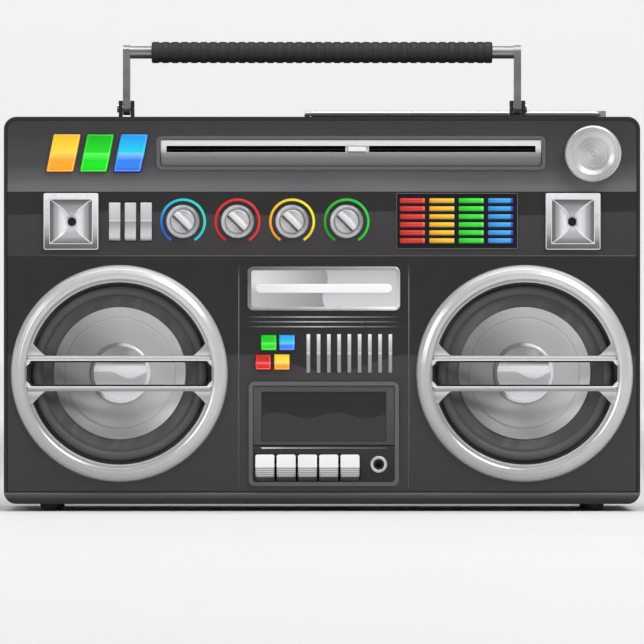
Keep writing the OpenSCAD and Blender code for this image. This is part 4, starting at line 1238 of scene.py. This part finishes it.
def dust_cap(side, centre, body):
    """Dome glued to the cone, with a rolled rim."""
    edge, rise, base = 30.6, 8.6, -27.6
    sphere = (edge ** 2 + rise ** 2) / (2 * rise)
    start = math.acos(edge / sphere)
    arc = [start + (math.pi / 2 - start) * k / 16 for k in range(16)]
    dome = [(sphere * math.cos(a), base + rise - sphere + sphere * math.sin(a)) for a in arc]
    dome += [(0.0, base + rise), (0.0, base + rise - 1.2), (29.0, base - 1.2)]
    rim = fillet([(29.4, base - 1.6, 0), (33.7, base - 2.2, 0.5), (33.4, base + 0.4, 0.9),
                  (31.9, base + 1.3, 0.6), (30.0, base + 1.3, 0.5), (29.4, base + 0.5, 0.2)], steps=4)
    with piece("dust_cap_" + side, "dome_silver", "cone_silver", body) as bm:
        lathe(bm, dome, centre, segments=128)
    with piece("dust_cap_rim_" + side, "dome_rim", "cone_silver", body) as bm:
        lathe(bm, rim, centre, segments=128)


def surrounds():
    """Rubber half rolls with an outer and an inner lip, and the spiders' discs behind them."""
    middle, roll, base, thick = 91.5, 6.0, -7.5, 0.8
    turns = [math.pi * k / 20 for k in range(21)]
    over = [(middle + roll * math.cos(a), base + roll * math.sin(a)) for a in turns]
    thin = roll - thick
    under = [(middle + thin * math.cos(a), base + thin * math.sin(a)) for a in reversed(turns)]
    outer_lip = fillet([(97.0, -7.5, 0), (106.0, -7.5, 0), (106.0, -7.0, 0.1), (97.0, -7.0, 0.1)])
    inner_lip = fillet([(83.8, -7.4, 0), (86.0, -7.4, 0), (86.0, -6.8, 0.2), (83.8, -6.8, 0.2)])
    with piece("surround_rolls", "surround_rubber", "surround_rubber", "root", ["woofer_surrounds"]) as bm:
        for side in SIDES:
            centre = Box("woofer_cone_" + side).on_face()
            for profile in (over + under, outer_lip, inner_lip):
                lathe(bm, profile, centre, segments=160)
            lathe(bm, rod(59.0, -41.5, -40.5, 19.9), centre, segments=64)


for woofer_side in SIDES:
    guard_ring(woofer_side)
    guard_rails(woofer_side)
    slot_shade_strip(woofer_side)
    cone(woofer_side)
surrounds()
soften("woofer_frames", "stamped_steel", 0.3)


# ---------------------------------------------------------------- middle column

def display():
    corners = Box("display_frame").corners()
    rim = [(3.4, 0), (0, 0), (0, 2.2), (0.5, 3.1), (1.3, 3.5), (2.0, 3.5), (3.9, 1.8), (4.4, 1.4)]
    with piece("display_rim", "display_rim", "silver_satin", "root", ["display_frame"], 25) as bm:
        terraced(bm, corners, 6.6, rim, ring=True)
    with piece("display_plate", "display_silver", "silver_satin") as bm:
        terraced(bm, corners, 6.6, [(3.0, 0.2), (3.0, 1.3), (3.6, 1.5), (6.0, 1.5)])
    with piece("light_strip", "display_white", "display_white", "root", ["display_light"]) as bm:
        terraced(bm, Box("display_light").corners(), 4.9,
                 [(0, 1.4), (0, 2.0), (0.5, 2.5), (1.4, 2.75), (2.6, 2.8)], arc=8)


def inlays():
    """Three long lines that fade at their ends, nine short bars, and one line on the deck."""
    lines = Box("silver_inlays")
    top = lines.high.z - 0.6
    reach = 88
    with piece("long_inlays", "fading_line", "silver_satin", "root", ["silver_inlays"]) as bm:
        for drop in (0, 5.3, 10.7):
            block(bm, (COLUMN_X - reach, FACE_Y - 0.6, top - drop - 0.6),
                  (COLUMN_X + reach, FACE_Y, top - drop + 0.6), 0.25)
    first, pitch, middle, wide, tall = -15, 11.27, 173.6, 4.0, 42.4
    with piece("upright_inlays", "upright_fade", "silver_satin") as bm:
        for i in range(9):
            terraced(bm, rectangle(first + pitch * i, middle, wide, tall), 0.5,
                     [(0, 0), (0, 0.5), (0.3, 0.9), (0.9, 1.1)], arc=2)
    deck_face, deck_reach = 1.5, 68.5
    low = lines.low.z + 0.7
    with piece("deck_inlay", "deck_line", "silver_satin") as bm:
        block(bm, (COLUMN_X - deck_reach, FACE_Y - deck_face - 0.7, low - 0.7),
              (COLUMN_X + deck_reach, FACE_Y - deck_face, low + 0.7), 0.3)


display()
inlays()


# ---------------------------------------------------------------- cassette deck

def key_cap(bm, low, high, break_z, x, half):
    """Body of a cassette key: upright below the break and sloping above it."""
    section = [(-4.5, low), (8.5, low), (8.5, break_z), (4.2, high), (-4.5, high)]
    skin(bm, [[along_x(u, v, w) for u, v in section] for w in (x - half, x + half)])
    depth_edges = [e for e in bm.edges if abs(e.verts[0].co.y - e.verts[1].co.y) > 6 * MM
                   and abs(e.verts[0].co.x - e.verts[1].co.x) < 1e-6]
    round_edges(bm, depth_edges, 2.4, 5)
    front = [e for e in bm.edges if e.is_manifold and e.calc_face_angle(0) > 0.7
             and max(v.co.y for v in e.verts) < (FACE_Y - 3.6) * MM]
    round_edges(bm, front, 0.8)


def key_ribs(bm, low, break_z, x, half, ribs=4):
    """Ribs across the upright part, the lowest one shorter."""
    pitch = (break_z - low - 1.4) / ribs
    for r in range(ribs):
        z = low + 1.5 + r * pitch
        side = half - (2.0 if r == 0 else 1.0)
        block(bm, (x - side, FACE_Y - 8.95, z), (x + side, FACE_Y - 8.2, z + pitch * 0.5), 0.22)


def cassette_key(action):
    """Key cap, its ribs, its lever on the rod, and the apron under it."""
    node = "key_" + action
    body = "tape_" + action
    box = Box(node)
    x = box.mid.x
    half = box.size.x / 2
    low, high = box.low.z, box.high.z
    break_z = low + 0.40 * (high - low)
    axle_y, axle_z = FACE_Y + 24.5, 50
    with piece("cap_" + node, "key_white", "key_white", body, [node], 28) as bm:
        key_cap(bm, low, high, break_z, x, half)
    with piece("ribs_" + node, "key_grey", "key_white", body) as bm:
        key_ribs(bm, low, break_z, x, half)
    with piece("lever_" + node, "stamped_steel", "frame_steel", body) as bm:
        block(bm, (x - 4, FACE_Y + 4.4, axle_z - 3.8), (x + 4, axle_y - 2, axle_z + 3.8), 0.4)
        lathe(bm, rod(3.5, -4, 4, 1.56), (x, axle_y, axle_z), "X", 32)
    with piece("apron_" + node, "key_apron", "case_black", body) as bm:
        block(bm, (x - half, FACE_Y + 3.4, low - 7.0), (x + half, FACE_Y + 4.5, low + 2.0), 0.3)


def jack():
    """Collar and barrel of the headphone socket."""
    box = Box("headphone_jack")
    outer = box.size.x / 2
    collar = fillet([(5.9, 1.5, 0), (outer, 1.5, 0.3), (outer, 3.0, 0.9), (outer - 1.0, 4.0, 0.8),
                     (6.6, 4.2, 0.7), (5.9, 3.4, 0.4)])
    barrel = fillet([(3.3, 3.0, 0.3), (5.85, 3.0, 0.2), (5.85, -22.5, 0), (0, -22.5, 0), (0, -18.5, 0),
                     (3.3, -18.5, 0)], closed=False, steps=3)
    with piece("jack_collar", "collar_silver", "bright_steel", "root", ["headphone_jack"]) as bm:
        lathe(bm, collar, box.on_face())
    with piece("jack_barrel", "trim_black", "rubber_black") as bm:
        lathe(bm, barrel, box.on_face(), segments=64)


def deck():
    soften("deck_bezel", "deck_plastic", 0.45, 3)
    soften("cassette_door", "door_plastic", 0.45, 3)
    soften("door_window", "smoked_window", 0.3)
    soften("deck_chassis", "stamped_steel", 0.2)
    soften("supply_spindle", "black_acetal", 0.2)
    soften("takeup_spindle", "black_acetal", 0.2)
    soften("capstan_flywheel", "dark_zinc", 0.3)
    soften("drive_belt", "feet_rubber", 0.1)
    soften("power_contacts", "turned_brass", 0.1)


for key_action in ("record", "play", "rewind", "forward", "stop"):
    cassette_key(key_action)
jack()
deck()


# ---------------------------------------------------------------- handle and antenna

def handle():
    """Ribbed rubber sleeve on the handle's bar."""
    soften("handle_frame", "handle_metal", 1.0, 3)
    box = Box("handle_grip")
    half = box.size.x / 2
    radius = box.size.z / 2
    bore, groove, ribs = 7.05, radius - 0.9, 34
    span = 2 * half - 18
    wide = span / ribs
    profile = [(bore, -half, 0), (radius - 1.2, -half, 0.5), (radius, -half + 1.6, 0.8),
               (radius, -half + 7, 0.6)]
    for r in range(ribs):
        start = -span / 2 + span * r / ribs
        profile += [(groove, start, 0.35), (groove, start + 0.22 * wide, 0.35),
                    (radius, start + 0.34 * wide, 0.7), (radius, start + 0.88 * wide, 0.7)]
    profile += [(groove, span / 2, 0.35), (radius, half - 7, 0.6), (radius, half - 1.6, 0.8),
                (radius - 1.2, half, 0.5), (bore, half, 0)]
    with piece("grip_sleeve", "grip_rubber", "rubber_black", "handle", ["handle_grip"]) as bm:
        lathe(bm, fillet(profile, closed=False, steps=3), box.mid, "X", 64)


def antenna():
    """Plated knuckle and mast, and the inner rod with its thicker tip."""
    soften("antenna_knuckle", "bright_plate", 0.3)
    soften("antenna_mast_outer", "bright_plate", 0.25)
    box = Box("antenna_mast_inner")
    tip, radius, thin = 7.0, 3.5, 2.5
    length = box.size.x
    profile = fillet([(0, 0, 0), (radius - 0.4, 0, 1.0), (radius, 1.4, 1.0), (radius, tip - 1.2, 0.8),
                      (thin, tip, 0.3), (thin, length, 0.3), (0, length, 0)], closed=False)
    with piece("antenna_rod", "bright_plate", "bright_steel", "mast_inner", ["antenna_mast_inner"]) as bm:
        lathe(bm, profile, (box.low.x, box.mid.y, box.mid.z), "X", 40)


handle()
antenna()
